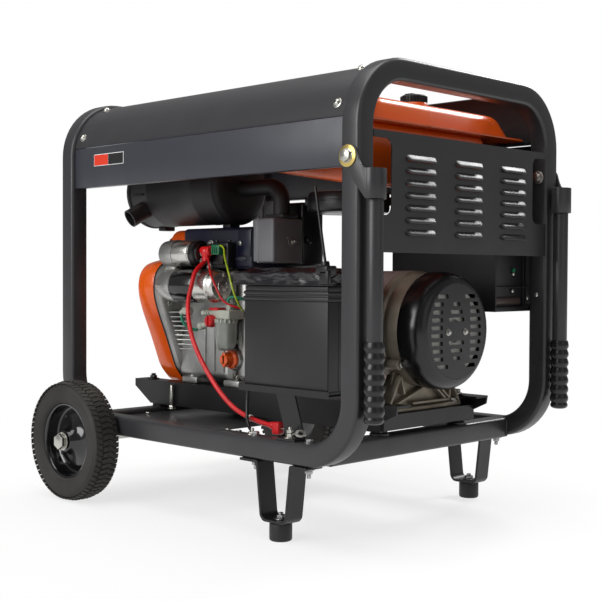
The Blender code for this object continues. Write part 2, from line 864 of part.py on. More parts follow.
end_cover = lathe(
    "alternator_end_cover",
    [
        (0.0, 0.040),
        (0.074, 0.040),
        (0.0855, 0.032),
        (ALTERNATOR_COVER_RADIUS, 0.022),
        (ALTERNATOR_COVER_RADIUS, -0.004),
        (0.0872, -0.004),
        (0.0872, 0.022),
        (0.0830, 0.030),
        (0.072, 0.0365),
        (0.0, 0.0365),
    ],
    (0.2943, 0, CRANK_Z),
    (1, 0, 0),
    BLACK_PLASTIC,
    steps=36,
)
SLOT_PITCH = 0.0118
SLOT_ROWS = [
    (-4.5, (-0.0330, 0.0330)), (-3.5, (-0.0440, 0.0, 0.0440)), (-2.5, (-0.0455, 0.0, 0.0455)),
    (-1.5, (-0.0465, 0.0, 0.0465)), (-0.5, (-0.0480, 0.0480)), (0.5, (-0.0480, 0.0480)),
    (1.5, (-0.0465, 0.0, 0.0465)), (2.5, (-0.0455, 0.0, 0.0455)), (3.5, (-0.0440, 0.0, 0.0440)),
    (4.5, (-0.0330, 0.0330)),
]
cover_slots = [
    box(
        f"cover_slot_{row}_{i}",
        (0.322, 0.342),
        (y - 0.0115, y + 0.0115),
        (CRANK_Z + row * SLOT_PITCH - 0.0022, CRANK_Z + row * SLOT_PITCH + 0.0022),
    )
    for row, columns in SLOT_ROWS
    for i, y in enumerate(columns)
]
cut(end_cover, *cover_slots)

rotor = lathe(
    "alternator_rotor",
    [
        (0.0168, 0.0),
        (0.0168, 0.170),
        (0.050, 0.170),
        (ROTOR_RADIUS, 0.160),
        (ROTOR_RADIUS, 0.012),
        (0.050, 0.0),
    ],
    (0.058, 0, CRANK_Z),
    (1, 0, 0),
    STEEL,
    steps=32,
)


# ---------------------------------------------------------------- fuel tank
def slab(name, low, high, z_low, z_high, material=None):
    """A block whose lower and upper faces differ. Faces are (x0, x1, half width)."""
    rings = [
        [(x0, -half, z), (x1, -half, z), (x1, half, z), (x0, half, z)]
        for (x0, x1, half), z in ((low, z_low), (high, z_high))
    ]
    return loft(name, rings, material)


SUMP_FAR_Y = 0.114
FLOOR_SHALLOW = 0.575
FLOOR_DEEP = 0.517
fuel_tank = slab(
    "fuel_tank",
    (-0.283, 0.3065, TANK_HALF_WIDTH),
    (-0.265, 0.2960, 0.164),
    TANK_FLANGE_Z + 0.001,
    TANK_TOP,
    ORANGE,
)
round_edges(fuel_tank, 0.007, 2)
fuel_tank = baked(fuel_tank, "fuel_tank", ORANGE)
tank_flange = box(
    "tank_flange",
    (-0.293, 0.317),
    (-TANK_FLANGE_HALF_WIDTH, TANK_FLANGE_HALF_WIDTH),
    (TANK_FLANGE_Z, TANK_FLANGE_Z + TANK_FLANGE_THICKNESS),
)
tank_sump = extrude_outline(
    "tank_sump",
    [(-0.050, TANK_FLANGE_Z + 0.0015), (-0.050, FLOOR_SHALLOW), (0.302, FLOOR_DEEP),
     (0.302, TANK_FLANGE_Z + 0.0015)],
    "Y", -0.190, SUMP_FAR_Y,
)
round_edges(tank_sump, 0.009, 2, 60)
tank_neck = cylinder(
    "tank_neck", (FILLER_X, FILLER_Y, TANK_TOP - 0.004), (0, 0, 1), 0.021, 0.010, sides=28
)
tank_inside = slab(
    "tank_inside", (-0.277, 0.3000, 0.187), (-0.262, 0.2920, 0.160), 0.6160, TANK_TOP - 0.0025
)
sump_inside = extrude_outline(
    "sump_inside",
    [(-0.046, 0.625), (-0.046, FLOOR_SHALLOW + 0.0035), (0.296, FLOOR_DEEP + 0.0035), (0.296, 0.625)],
    "Y", -0.184, SUMP_FAR_Y - 0.006,
)
filler_hole = cylinder(
    "filler_hole", (FILLER_X, FILLER_Y, TANK_TOP - 0.02), (0, 0, 1), FILLER_RADIUS, 0.05, sides=28
)
tank_sump = baked(tank_sump, "tank_sump", ORANGE)
fuel_tank = baked(join(fuel_tank, tank_flange, tank_sump, tank_neck), "fuel_tank", ORANGE)
tank_room = baked(join(tank_inside, sump_inside, filler_hole), "tank_room", ORANGE)
cut(fuel_tank, tank_room)

fuel_cap = lathe(
    "fuel_cap",
    [
        (0.0, 0.021),
        (0.0185, 0.021),
        (0.0225, 0.018),
        (0.0225, 0.0085),
        (0.0160, 0.0085),
        (0.0155, 0.0),
        (0.0, 0.0),
    ],
    (FILLER_X, FILLER_Y, TANK_TOP - 0.0022),
    (0, 0, 1),
    BLACK_PLASTIC,
    steps=28,
)


# ---------------------------------------------------------------- covers and side panels
def curved_cover(name, side):
    """A sheet rolled to the top bends of the frame, with four screws."""
    angles = [
        COVER_START_ANGLE + (COVER_END_ANGLE - COVER_START_ANGLE) * i / 7 for i in range(8)
    ]
    outline = []
    for radius, order in ((COVER_RADIUS, angles), (COVER_RADIUS - COVER_THICKNESS, angles[::-1])):
        for angle in order:
            outline.append((
                side * (BEND_CENTRE_Y + radius * math.cos(math.radians(angle))),
                BEND_CENTRE_Z + radius * math.sin(math.radians(angle)),
            ))
    sheet = extrude_outline(name, outline, "X", -COVER_HALF_LENGTH, COVER_HALF_LENGTH, CHARCOAL)
    screws = []
    for x in (-0.303, 0.303):
        for angle in (20.0, 66.0):
            out = Vector((0, side * math.cos(math.radians(angle)), math.sin(math.radians(angle))))
            centre = Vector((x, side * BEND_CENTRE_Y, BEND_CENTRE_Z)) + out * (COVER_RADIUS - 0.001)
            screws.append(
                cylinder(f"{name}_screw_{x}_{angle}", centre, out, 0.0072, 0.0022, sides=14)
            )
            screws.append(
                hex_head(f"{name}_head_{x}_{angle}", centre + out * 0.0015, out, 0.0085, 0.0045)
            )
    return join(sheet, *screws)


def side_panel(name, side):
    """A flat sheet between the posts with a ledge that carries the tank flange."""
    sheet = box(
        name,
        (-COVER_HALF_LENGTH, COVER_HALF_LENGTH),
        sorted((side * 0.2430, side * 0.2412)),
        (PANEL_BOTTOM, PANEL_TOP),
        PANEL_GREY,
    )
    ledge = box(
        f"{name}_ledge",
        (-COVER_HALF_LENGTH + 0.001, COVER_HALF_LENGTH - 0.001),
        sorted((side * 0.2425, side * 0.2060)),
        (TANK_FLANGE_Z - GAP - 0.002, TANK_FLANGE_Z - GAP),
    )
    return join(sheet, ledge)


curved_cover("cover_near", -1)
curved_cover("cover_far", 1)
side_panel("side_panel_near", -1)
side_panel("side_panel_far", 1)
box("badge_plate", (-0.262, -0.178), (-0.2441, -0.2433), (0.5750, 0.5953), RED_PLASTIC)


# ---------------------------------------------------------------- louvred heat shield
def shield_outline():
    """The shield seen from the end: narrow tabs at the top, a long round notch on each side."""
    half = INNER_SIDE_Y + GAP
    corner = 0.012
    right = [(half, SHIELD_BOTTOM), (half, SHIELD_NOTCH_BOTTOM)]
    right += [
        (SHIELD_HALF_WIDTH + corner - corner * math.cos(math.radians(a)),
         SHIELD_NOTCH_BOTTOM + corner - corner * math.sin(math.radians(a)))
        for a in (90, 60, 30, 0)
    ]
    right += [
        (SHIELD_HALF_WIDTH + corner - corner * math.cos(math.radians(a)),
         SHIELD_NOTCH_TOP - corner + corner * math.sin(math.radians(a)))
        for a in (0, 30, 60, 90)
    ]
    right += [(half, SHIELD_NOTCH_TOP), (half, SHIELD_TOP)]
    return right + [(-y, z) for y, z in reversed(right)]


def louvre_set(name, height, shrink, reach_back):
    """All the louvre hoods in one mesh: wedges that lean out over their lower edge."""
    build = bmesh.new()
    face_x = END_X - 0.0015
    for column in LOUVRE_COLUMNS:
        for row in range(LOUVRE_ROWS):
            z = LOUVRE_TOP_ROW - row * LOUVRE_PITCH
            half = LOUVRE_LENGTH / 2 - shrink
            back = face_x - reach_back
            rings = []
            for x, y_half, z_low, z_high in (
                (back, half, z - 0.0042 + (-0.004 if reach_back > 0.001 else 0.0), z + 0.0042 - shrink),
                (face_x + height, half - 0.005, z - 0.0042 + (-0.004 if reach_back > 0.001 else 0.0),
                 z + 0.0005 - shrink),
            ):
                rings.append([
                    build.verts.new((x, column - y_half, z_low)),
                    build.verts.new((x, column + y_half, z_low)),
                    build.verts.new((x, column + y_half, z_high)),
                    build.verts.new((x, column - y_half, z_high)),
                ])
            build.faces.new(rings[0])
            build.faces.new(rings[1])
            for i in range(4):
                j = (i + 1) % 4
                build.faces.new((rings[0][i], rings[0][j], rings[1][j], rings[1][i]))
    return add_mesh(name, build, None)


heat_shield = extrude_outline(
    "heat_shield", shield_outline(), "X", END_X - 0.0015 - SHIELD_THICKNESS, END_X - 0.0015, CHARCOAL
)
hoods = louvre_set("louvre_hoods", 0.0048, 0.0, 0.0008)
hollows = louvre_set("louvre_hollows", 0.0034, 0.0013, 0.0030)
cut(join(heat_shield, hoods), hollows)


# ---------------------------------------------------------------- swing handles
def handle(suffix, side):
    """A bracket on the outer face of the post, a sleeve and a straight tube, and a ribbed grip."""
    sheet_in = side * (SIDE_Y + GAP)
    sheet_out = side * (SIDE_Y + GAP + HANDLE_SHEET)
    pivot = (POST_X, HANDLE_PIVOT_Z)
    outline = (
        arc(pivot, 0.0160, 215, 40, 8)
        + [(0.3660, 0.5340), (0.3845, 0.5340), (0.3845, 0.4925), (0.3710, 0.4925), (0.3560, 0.5070)]
    )
    bracket = extrude_outline(f"handle_{suffix}", outline, "Y", sheet_in, sheet_out, CHARCOAL)
    tube_y = side * HANDLE_TUBE_Y
    grip_bottom = GRIP_BOTTOM[suffix]
    sleeve = cylinder(
        f"sleeve_{suffix}", (HANDLE_TUBE_X, tube_y, 0.4925), (0, 0, 1), 0.0152, 0.0415, sides=24
    )
    link = box(
        f"sleeve_link_{suffix}",
        (0.3560, HANDLE_TUBE_X + 0.0140),
        sorted((side * 0.2360, side * (SIDE_Y + GAP + 0.0015))),
        (0.4930, 0.5335),
    )
    tube = cylinder(
        f"handle_tube_{suffix}", (HANDLE_TUBE_X, tube_y, grip_bottom + 0.007), (0, 0, 1),
        HANDLE_TUBE_RADIUS, 0.5335 - grip_bottom - 0.007, sides=24,
    )
    hole = cylinder(
        f"pivot_hole_{suffix}", (POST_X, side * (SIDE_Y - 0.01), HANDLE_PIVOT_Z), (0, side, 0),
        PIVOT_RADIUS + GAP, 0.03, sides=20,
    )
    post_room = box(
        f"post_room_{suffix}", (0.30, END_X + 0.0012), sorted((side * 0.20, side * (SIDE_Y + GAP))),
        (0.47, 0.56),
    )
    joined = baked(
        cut(join(bracket, sleeve, link, tube), hole, post_room), f"handle_{suffix}", CHARCOAL
    )
    joined.name = f"handle_{suffix}"
    pivot_at(joined, (POST_X, side * (SIDE_Y + GAP), HANDLE_PIVOT_Z))

    profile = [(0.0, 0.0), (0.0105, 0.0), (0.0140, 0.003)]
    ribs = 7
    pitch = (GRIP_LENGTH - 0.010) / ribs
    for i in range(ribs):
        base = 0.005 + i * pitch
        profile += [(GRIP_RADIUS, base + 0.002), (GRIP_RADIUS, base + pitch * 0.55),
                    (GRIP_RADIUS - 0.0018, base + pitch * 0.75)]
    profile += [(GRIP_RADIUS - 0.0018, GRIP_LENGTH), (HANDLE_TUBE_RADIUS + GAP, GRIP_LENGTH),
                (HANDLE_TUBE_RADIUS + GAP, 0.007 - GAP), (0.0, 0.007 - GAP)]
    grip = lathe(
        f"grip_{suffix}", profile, (HANDLE_TUBE_X, tube_y, grip_bottom), (0, 0, 1), RUBBER, steps=16
    )
    pivot_at(grip, (POST_X, side * (SIDE_Y + GAP), HANDLE_PIVOT_Z))

    face = SIDE_Y + GAP + HANDLE_SHEET + GAP
    bolt = lathe(
        f"pivot_bolt_{suffix}",
        [
            (0.0, 0.0022),
            (0.0155, 0.0022),
            (0.0155, 0.0),
            (PIVOT_RADIUS, 0.0),
            (PIVOT_RADIUS, -0.0034),
            (0.0, -0.0034),
        ],
        (POST_X, side * face, HANDLE_PIVOT_Z),
        (0, side, 0),
        ZINC,
        steps=28,
    )
    head = hex_head(
        f"pivot_head_{suffix}", (POST_X, side * (face + 0.001), HANDLE_PIVOT_Z), (0, side, 0),
        0.016, 0.0078,
    )
    join(bolt, head)
    return joined


handle("near", -1)
handle("far", 1)


# ---------------------------------------------------------------- feet
def foot(suffix, side):
    """A bent strip bolted under the rail, with a rubber foot on its lowest web."""
    y = side * RAIL_Y
    outer = [
        (-0.072, RAIL_UNDERSIDE - GAP), (-0.072, RAIL_UNDERSIDE - GAP - FOOT_STRIP_THICKNESS),
        (-0.037, RAIL_UNDERSIDE - GAP - FOOT_STRIP_THICKNESS), (-0.028, 0.034), (-0.021, 0.027),
        (0.021, 0.027), (0.028, 0.034), (0.037, RAIL_UNDERSIDE - GAP - FOOT_STRIP_THICKNESS),
        (0.082, RAIL_UNDERSIDE - GAP - FOOT_STRIP_THICKNESS), (0.082, RAIL_UNDERSIDE - GAP),
        (0.033, RAIL_UNDERSIDE - GAP), (0.024, 0.036), (0.019, 0.031),
        (-0.019, 0.031), (-0.024, 0.036), (-0.033, RAIL_UNDERSIDE - GAP),
    ]
    strip = extrude_outline(
        f"foot_bracket_{suffix}", [(FOOT_X + x, z) for x, z in outer], "Y",
        y - FOOT_STRIP_WIDTH / 2, y + FOOT_STRIP_WIDTH / 2, BLACK,
    )
    nuts = [
        hex_head(f"foot_nut_{suffix}_{i}", (FOOT_X + x, y, z), (0, 0, 1), 0.013, height)
        for i, (x, z, height) in enumerate(
            [(0.057, 0.101, 0.0120), (-0.054, 0.103, 0.0100), (0.0, 0.0300, 0.0090)]
        )
    ]
    join(strip, *nuts)
    lathe(
        f"foot_rubber_{suffix}",
        [
            (0.0, FOOT_RUBBER_HEIGHT),
            (FOOT_RUBBER_RADIUS - 0.0015, FOOT_RUBBER_HEIGHT),
            (FOOT_RUBBER_RADIUS, FOOT_RUBBER_HEIGHT - 0.0015),
            (FOOT_RUBBER_RADIUS, 0.0015),
            (FOOT_RUBBER_RADIUS - 0.0015, 0.0),
            (0.0, 0.0),
        ],
        (FOOT_X, y, 0.0),
        (0, 0, 1),
        RUBBER,
        steps=24,
    )


foot("near", -1)
foot("far", 1)


# ---------------------------------------------------------------- axle and wheels
AXLE_END_Y = WHEEL_INNER_Y + WHEEL_WIDTH + 0.0062
axle = cylinder(
    "axle", (WHEEL_X, -AXLE_END_Y, WHEEL_RADIUS), (0, 1, 0), AXLE_RADIUS, 2 * AXLE_END_Y, ZINC, sides=24
)
axle_parts = []
for side in (-1, 1):
    lug_outline = [
        (WHEEL_X - 0.016, 0.104), (WHEEL_X - 0.010, 0.090), (WHEEL_X + 0.010, 0.090),
        (WHEEL_X + 0.024, 0.104), (WHEEL_X + 0.030, RAIL_UNDERSIDE - GAP),
        (WHEEL_X - 0.012, RAIL_UNDERSIDE - GAP),
    ]
    axle_parts.append(
        extrude_outline(
            f"axle_lug_{side}", lug_outline, "Y", side * RAIL_Y - 0.012, side * RAIL_Y + 0.012
        )
    )
    axle_parts.append(
        hex_head(f"axle_nut_{side}", (WHEEL_X, side * (AXLE_END_Y - 0.0065), WHEEL_RADIUS), (0, side, 0),
                 0.024, 0.0110)
    )
    axle_parts.append(
        cylinder(f"axle_washer_{side}", (WHEEL_X, side * (AXLE_END_Y - 0.0085), WHEEL_RADIUS),
                 (0, side, 0), 0.0155, 0.0030, sides=24)
    )
join(axle, *axle_parts)


def wheel(suffix, side):
    """A pressed rim with a cone hub inside a rubber tyre, turning on the axle."""
    base_y = side * WHEEL_INNER_Y
    bore = AXLE_RADIUS + GAP
    hub_face = WHEEL_WIDTH - 0.0026
    rim = lathe(
        f"rim_{suffix}",
        [
            (bore, 0.003),
            (bore, hub_face),
            (HUB_RADIUS - 0.003, hub_face),
            (HUB_RADIUS, hub_face - 0.004),
            (0.026, 0.028),
            (0.040, 0.020),
            (RIM_RADIUS - 0.006, 0.020),
            (RIM_RADIUS - 0.004, WHEEL_WIDTH - 0.0075),
            (RIM_RADIUS, WHEEL_WIDTH - 0.0065),
            (RIM_RADIUS, 0.0065),
            (RIM_RADIUS - 0.004, 0.0075),
            (RIM_RADIUS - 0.006, 0.016),
            (0.040, 0.016),
            (0.022, 0.012),
            (HUB_RADIUS - 0.002, 0.003),
        ],
        (WHEEL_X, base_y, WHEEL_RADIUS),
        (0, side, 0),
        BLACK,
        steps=28,
    )
    pivot_at(rim, (WHEEL_X, side * WHEEL_MID_Y, WHEEL_RADIUS))
    inner = RIM_RADIUS + GAP
    tyre = lathe(
        f"tyre_{suffix}",
        [
            (inner, 0.006),
            (inner, WHEEL_WIDTH - 0.006),
            (inner + 0.004, WHEEL_WIDTH - 0.002),
            (inner + 0.014, WHEEL_WIDTH),
            (WHEEL_RADIUS - 0.011, WHEEL_WIDTH - 0.0005),
            (WHEEL_RADIUS - 0.003, WHEEL_WIDTH - 0.0045),
            (WHEEL_RADIUS - 0.0006, WHEEL_WIDTH - 0.011),
            (WHEEL_RADIUS, WHEEL_WIDTH / 2),
            (WHEEL_RADIUS - 0.0006, 0.011),
            (WHEEL_RADIUS - 0.003, 0.0045),
            (WHEEL_RADIUS - 0.011, 0.0005),
            (inner + 0.014, 0.0),
            (inner + 0.004, 0.002),
        ],
        (WHEEL_X, base_y, WHEEL_RADIUS),
        (0, side, 0),
        TYRE_RUBBER,
        steps=28,
    )
    pivot_at(tyre, (WHEEL_X, side * WHEEL_MID_Y, WHEEL_RADIUS))


wheel("near", -1)
wheel("far", 1)

# ---------------------------------------------------------------- battery
battery_case = box("battery_case", BATTERY_X, BATTERY_Y, BATTERY_Z, BLACK_PLASTIC, 0.003, 1)
battery_rim = box(
    "battery_rim",
    (BATTERY_X[0] - 0.002, BATTERY_X[1] + 0.002),
    (BATTERY_Y[0] - 0.002, BATTERY_Y[1] + 0.002),
    (BATTERY_Z[1] - 0.022, BATTERY_Z[1] - 0.010),
)
join(battery_case, battery_rim)

cover_rings = []
for inset, height in ((0.000, GAP), (-0.001, 0.008), (0.004, 0.021), (0.016, 0.0285)):
    z = BATTERY_Z[1] + height
    x0, x1 = BATTERY_X[0] - 0.022 + inset, BATTERY_X[1] + 0.001 - inset
    y0, y1 = BATTERY_Y[0] - 0.001 + inset, BATTERY_Y[1] + 0.001 - inset
    ring = []
    for i in range(8):
        share = i / 8
        crease = 0.003 * math.sin(14 * share) if height > 0.01 else 0.0
        ring.append((x0 + (x1 - x0) * share, y0 + 0.002 * math.sin(9 * share), z + crease))
    for i in range(4):
        ring.append((x1, y0 + (y1 - y0) * i / 4, z))
    for i in range(8):
        ring.append((x1 + (x0 - x1) * i / 8, y1, z))
    for i in range(4):
        ring.append((x0, y1 + (y0 - y1) * i / 4, z))
    cover_rings.append(ring)
loft("battery_cover", cover_rings, BLACK_PLASTIC)

TRAY_Z = (BATTERY_Z[0] - GAP - 0.003, BATTERY_Z[0] - GAP)
battery_tray = box(
    "battery_tray", (BATTERY_X[0] - 0.006, BATTERY_X[1] + 0.004),
    (BATTERY_Y[0] - 0.0035, BATTERY_Y[1] + 0.0030), TRAY_Z, BLACK,
)
tray_lips = [
    box("tray_lip_front", (BATTERY_X[0] - 0.006, BATTERY_X[1] + 0.004),
        (BATTERY_Y[0] - 0.0035, BATTERY_Y[0] - 0.0015), (TRAY_Z[0] + 0.0005, TRAY_Z[1] + 0.007)),
    box("tray_lip_back", (BATTERY_X[0] - 0.006, BATTERY_X[1] + 0.004),
        (BATTERY_Y[1] + 0.0010, BATTERY_Y[1] + 0.0030), (TRAY_Z[0] + 0.0005, TRAY_Z[1] + 0.007)),
]
tray_legs = []
for i, (top_x, foot_x, width) in enumerate(((0.188, 0.209, 0.038),)):
    half = width / 2
    outline = [
        (top_x - half, TRAY_Z[0] + 0.001), (top_x + half, TRAY_Z[0] + 0.001),
        (foot_x + half, RAIL_TOP + GAP + 0.001), (foot_x + half, RAIL_TOP + GAP),
        (foot_x - half, RAIL_TOP + GAP), (foot_x - half, RAIL_TOP + GAP + 0.001),
    ]
    tray_legs.append(extrude_outline(f"tray_leg_{i}", outline, "Y", -0.2225, -0.2195))
    tray_legs.append(
        box(f"tray_foot_{i}", (foot_x - half, foot_x + half), (-0.2435, -0.2205),
            (RAIL_TOP + GAP, RAIL_TOP + GAP + 0.003))
    )
    tray_legs.append(
        hex_head(f"tray_bolt_{i}", (foot_x, -0.2330, RAIL_TOP + GAP + 0.002), (0, 0, 1), 0.010, 0.008)
    )
tray_rest = box(
    "tray_rest", (0.098, 0.128), (-0.1090, -0.0985), (BEARER_TOP + GAP, TRAY_Z[0] + 0.001)
)
join(battery_tray, *tray_lips, *tray_legs, tray_rest)

# ---------------------------------------------------------------- battery lead, free between its ends
LEAD_ROUTE = [
    (-0.0926, -0.1335, 0.4175), (-0.0925, -0.1385, 0.4105), (-0.0900, -0.1600, 0.3940),
    (-0.0860, -0.1720, 0.3700), (-0.0790, -0.1850, 0.3430), (-0.0680, -0.1930, 0.3150),
    (-0.0520, -0.1990, 0.2870), (-0.0310, -0.2030, 0.2600), (-0.0070, -0.2060, 0.2350),
    (0.0180, -0.2080, 0.2120), (0.0440, -0.2090, 0.1920), (0.0700, -0.2090, 0.1780),
    (0.0960, -0.2085, 0.1700), (0.1180, -0.2085, 0.1655), (0.1380, -0.2085, 0.1628),
    (0.1499, -0.2085, 0.1621),
]
LEAD_RADIUS = 0.0038


def smooth_path(points, steps):
    """A Catmull-Rom path through the points, as (point, direction) pairs."""
    points = [Vector(point) for point in points]
    padded = [points[0] * 2 - points[1]] + points + [points[-1] * 2 - points[-2]]
    places = []
    for before, start, end, after in zip(padded, padded[1:], padded[2:], padded[3:]):
        for step in range(steps):
            t = step / steps
            places.append(0.5 * (
                2 * start + (end - before) * t
                + (2 * before - 5 * start + 4 * end - after) * t * t
                + (3 * start - before - 3 * end + after) * t * t * t
            ))
    places.append(points[-1])
    stations = []
    for i, place in enumerate(places):
        ahead = places[min(i + 1, len(places) - 1)]
        behind = places[max(i - 1, 0)]
        stations.append((place, (ahead - behind).normalized()))
    return stations


def cord(name, points, radius, material):
    """A free cord: a bevelled poly curve, made a mesh with its caps closed."""
    path = smooth_path(points, 3)
    curve = bpy.data.curves.new(name, "CURVE")
    curve.dimensions = "3D"
    curve.bevel_depth = radius
    curve.bevel_resolution = 2
    curve.use_fill_caps = True
    spline = curve.splines.new("POLY")
    spline.points.add(len(path) - 1)
    for knot, (place, _) in zip(spline.points, path):
        knot.co = (*place, 1.0)
    holder = bpy.data.objects.new(f"{name}_curve", curve)
    PARTS.objects.link(holder)
    return baked(holder, name, material)


cord("battery_lead", LEAD_ROUTE, LEAD_RADIUS, RED_PLASTIC)
lead_boot = box("lead_lug_boot", (0.1508, 0.1664), (-0.2155, -0.2015), (0.1497, 0.1690), RED_PLASTIC,
                0.003, 2)
lead_lug = box("lead_lug", (0.1644, 0.1814), (-0.2125, -0.2045), (0.1605, 0.1625))
lead_ring = cylinder("lead_ring", (0.1864, -0.2085, 0.1600), (0, 0, 1), 0.0075, 0.0030, sides=18)
ring_hole = cylinder("ring_hole", (0.1864, -0.2085, 0.15), (0, 0, 1), 0.0042, 0.03, sides=18)
cut(join(lead_boot, lead_lug, lead_ring), ring_hole)

GROUND_ROUTE = [
    (0.0990, -0.2150, 0.2127), (0.0992, -0.2156, 0.2060), (0.1000, -0.2172, 0.1930),
    (0.1030, -0.2200, 0.1790), (0.1080, -0.2240, 0.1670), (0.1160, -0.2280, 0.1590),
    (0.1230, -0.2305, 0.1555), (0.1270, -0.2318, 0.1530), (0.1283, -0.2322, 0.1497),
]
cord("ground_lead", GROUND_ROUTE, 0.0026, BLACK_PLASTIC)

# ---------------------------------------------------------------- control box on the far side
control_box = box("control_box", CONTROL_X, CONTROL_Y, CONTROL_Z, CHARCOAL, 0.002, 1)
FACE_Y = CONTROL_Y[1]
meter_bezel = box("meter_bezel", (0.122, 0.182), (FACE_Y - 0.002, FACE_Y + 0.0045), (0.468, 0.518))
meter_window = box("meter_window", (0.127, 0.177), (FACE_Y + 0.0025, FACE_Y + 0.008), (0.476, 0.513))
socket_bodies = []
socket_holes = []
for i, x in enumerate((0.222, 0.282)):
    socket_bodies.append(
        box(f"socket_plate_{i}", (x - 0.024, x + 0.024), (FACE_Y - 0.002, FACE_Y + 0.0035),
            (0.468, 0.518))
    )
    socket_holes.append(
        cylinder(f"socket_well_{i}", (x, FACE_Y - 0.010, 0.493), (0, 1, 0), 0.0180, 0.03, sides=24)
    )
TOGGLE_X = (0.2140, 0.2300)
toggle_pocket = box(
    "toggle_pocket", (TOGGLE_X[0] - GAP, TOGGLE_X[1] + GAP), (FACE_Y - 0.0040, FACE_Y + 0.001),
    (0.4245, 0.4415),
)
cut(join(control_box, meter_bezel, *socket_bodies), meter_window, toggle_pocket, *socket_holes)

FRONT_Y = FACE_Y + GAP
key_switch = lathe(
    "key_switch",
    [(0.0, 0.012), (0.0075, 0.012), (0.0085, 0.010), (0.0085, 0.0), (0.0, 0.0)],
    (0.2920, FRONT_Y, 0.432), (0, 1, 0), ZINC, steps=20,
)
join(key_switch, box("key_bow", (0.2909, 0.2931), (FRONT_Y + 0.010, FRONT_Y + 0.026), (0.4267, 0.4373)))
pivot_at(key_switch, (0.0, 0.0, 0.0))
current_knob = lathe(
    "current_knob",
    [(0.0, 0.018), (0.0140, 0.018), (0.0165, 0.015), (0.0195, 0.003), (0.0195, 0.0), (0.0, 0.0)],
    (0.152, FRONT_Y, 0.425), (0, 1, 0), BLACK_PLASTIC, steps=24,
)
knob_mark = box("knob_mark", (0.1510, 0.1530), (FRONT_Y + 0.0165, FRONT_Y + 0.0195), (0.427, 0.4385))
join(current_knob, knob_mark)
breaker_outline = [
    (FRONT_Y - 0.0008, 0.4290), (FRONT_Y + 0.0005, 0.4260), (FRONT_Y + 0.0120, 0.4340),
    (FRONT_Y + 0.0120, 0.4390), (FRONT_Y + 0.0005, 0.4400), (FRONT_Y - 0.0008, 0.4370),
]
breaker_toggle = extrude_outline("breaker_toggle", breaker_outline, "X", *TOGGLE_X, BLACK_PLASTIC)
for suffix, x in (("positive", 0.160), ("negative", 0.250)):
    lathe(
        f"weld_terminal_{suffix}",
        [(0.0, 0.022), (0.0105, 0.022), (0.0120, 0.020), (0.0120, 0.006), (0.0175, 0.004),
         (0.0175, 0.0), (0.0, 0.0)],
        (x, FRONT_Y, 0.370), (0, 1, 0), BRASS, steps=24,
    )
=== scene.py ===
# %% [markdown]
# # Engine driven welder
# An open tube frame carries a single-cylinder engine, an alternator on the same axis, a fuel tank,
# a starting battery and a welding control box. It rolls on two wheels and stands on two rubber feet.
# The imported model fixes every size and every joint, so this lesson only adds shapes and finishes
# that sit inside it.

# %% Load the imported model
import math

import bmesh
import bpy
from mathutils import Matrix, Vector, noise


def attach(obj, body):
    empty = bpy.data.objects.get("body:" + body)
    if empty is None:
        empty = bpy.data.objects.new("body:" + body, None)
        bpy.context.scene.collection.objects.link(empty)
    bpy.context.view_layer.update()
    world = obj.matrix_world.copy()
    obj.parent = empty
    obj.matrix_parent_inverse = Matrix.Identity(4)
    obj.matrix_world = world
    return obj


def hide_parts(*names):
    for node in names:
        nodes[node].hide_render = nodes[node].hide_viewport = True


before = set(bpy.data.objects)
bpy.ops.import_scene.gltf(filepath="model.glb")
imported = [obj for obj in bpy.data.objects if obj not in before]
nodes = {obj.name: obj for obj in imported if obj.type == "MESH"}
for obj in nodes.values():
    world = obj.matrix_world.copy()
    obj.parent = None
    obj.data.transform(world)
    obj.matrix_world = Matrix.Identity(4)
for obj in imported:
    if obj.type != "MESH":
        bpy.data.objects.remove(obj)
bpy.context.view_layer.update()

# %% [markdown]
# ## Driving sizes
# The frame's tubes, bends and pivots are used again and again, so they are written once here. All are metres.

# %% Sizes shared by many pieces
SIDES = ((-1, "near"), (1, "far"))
TUBE = 0.033
END_X, SIDE_Y, FRAME_TOP = 0.353, 0.249, 0.696
RAIL_LOW, RAIL_TOP = 0.116, 0.149
POST_X, RAIL_Y = END_X - TUBE / 2, SIDE_Y - TUBE / 2
RAIL_Z, TOP_Z = RAIL_LOW + TUBE / 2, FRAME_TOP - TUBE / 2
BEND_OUTER = 0.1
BEND = BEND_OUTER - TUBE / 2
CRANK_Z = 0.305
WHEEL = Vector((-0.274, 0.277, 0.103))
PIVOT = Vector((POST_X, 0.2493, 0.5517))
print("frame", END_X * 2, SIDE_Y * 2, FRAME_TOP)

# %% [markdown]
# ## Camera
# The machine is seen from low down, from the corner between the alternator end and the battery side. A
# long lens keeps the posts nearly upright. The turns are made one after another, about the upright
# axis, then the level one, then the line of sight, which is easier to read than one set of angles.

# %% Camera
def linked(name, data):
    """A new object with that data, put into the scene."""
    made = bpy.data.objects.new(name, data)
    bpy.context.scene.collection.objects.link(made)
    return made


camera_data = bpy.data.cameras.new("camera")
camera_data.lens = 68.07
camera_data.sensor_width = 36.0
camera = linked("camera", camera_data)
camera.matrix_world = (
    Matrix.Translation((1.3724, -1.4004, 0.3915))
    @ Matrix.Rotation(math.radians(44.4065), 4, "Z")
    @ Matrix.Rotation(math.radians(90 - 1.3558), 4, "X")
    @ Matrix.Rotation(math.radians(0.2569), 4, "Z")
)
bpy.context.scene.camera = camera
print("camera", tuple(round(c, 3) for c in camera.location))

# %% [markdown]
# ## Colour and nodes
# Colours are written as the hex values a paint chart would give. Blender works in linear light, so
# one function converts them. One more function adds a shader node, sets it and links it, so each
# finish below reads as a short recipe.

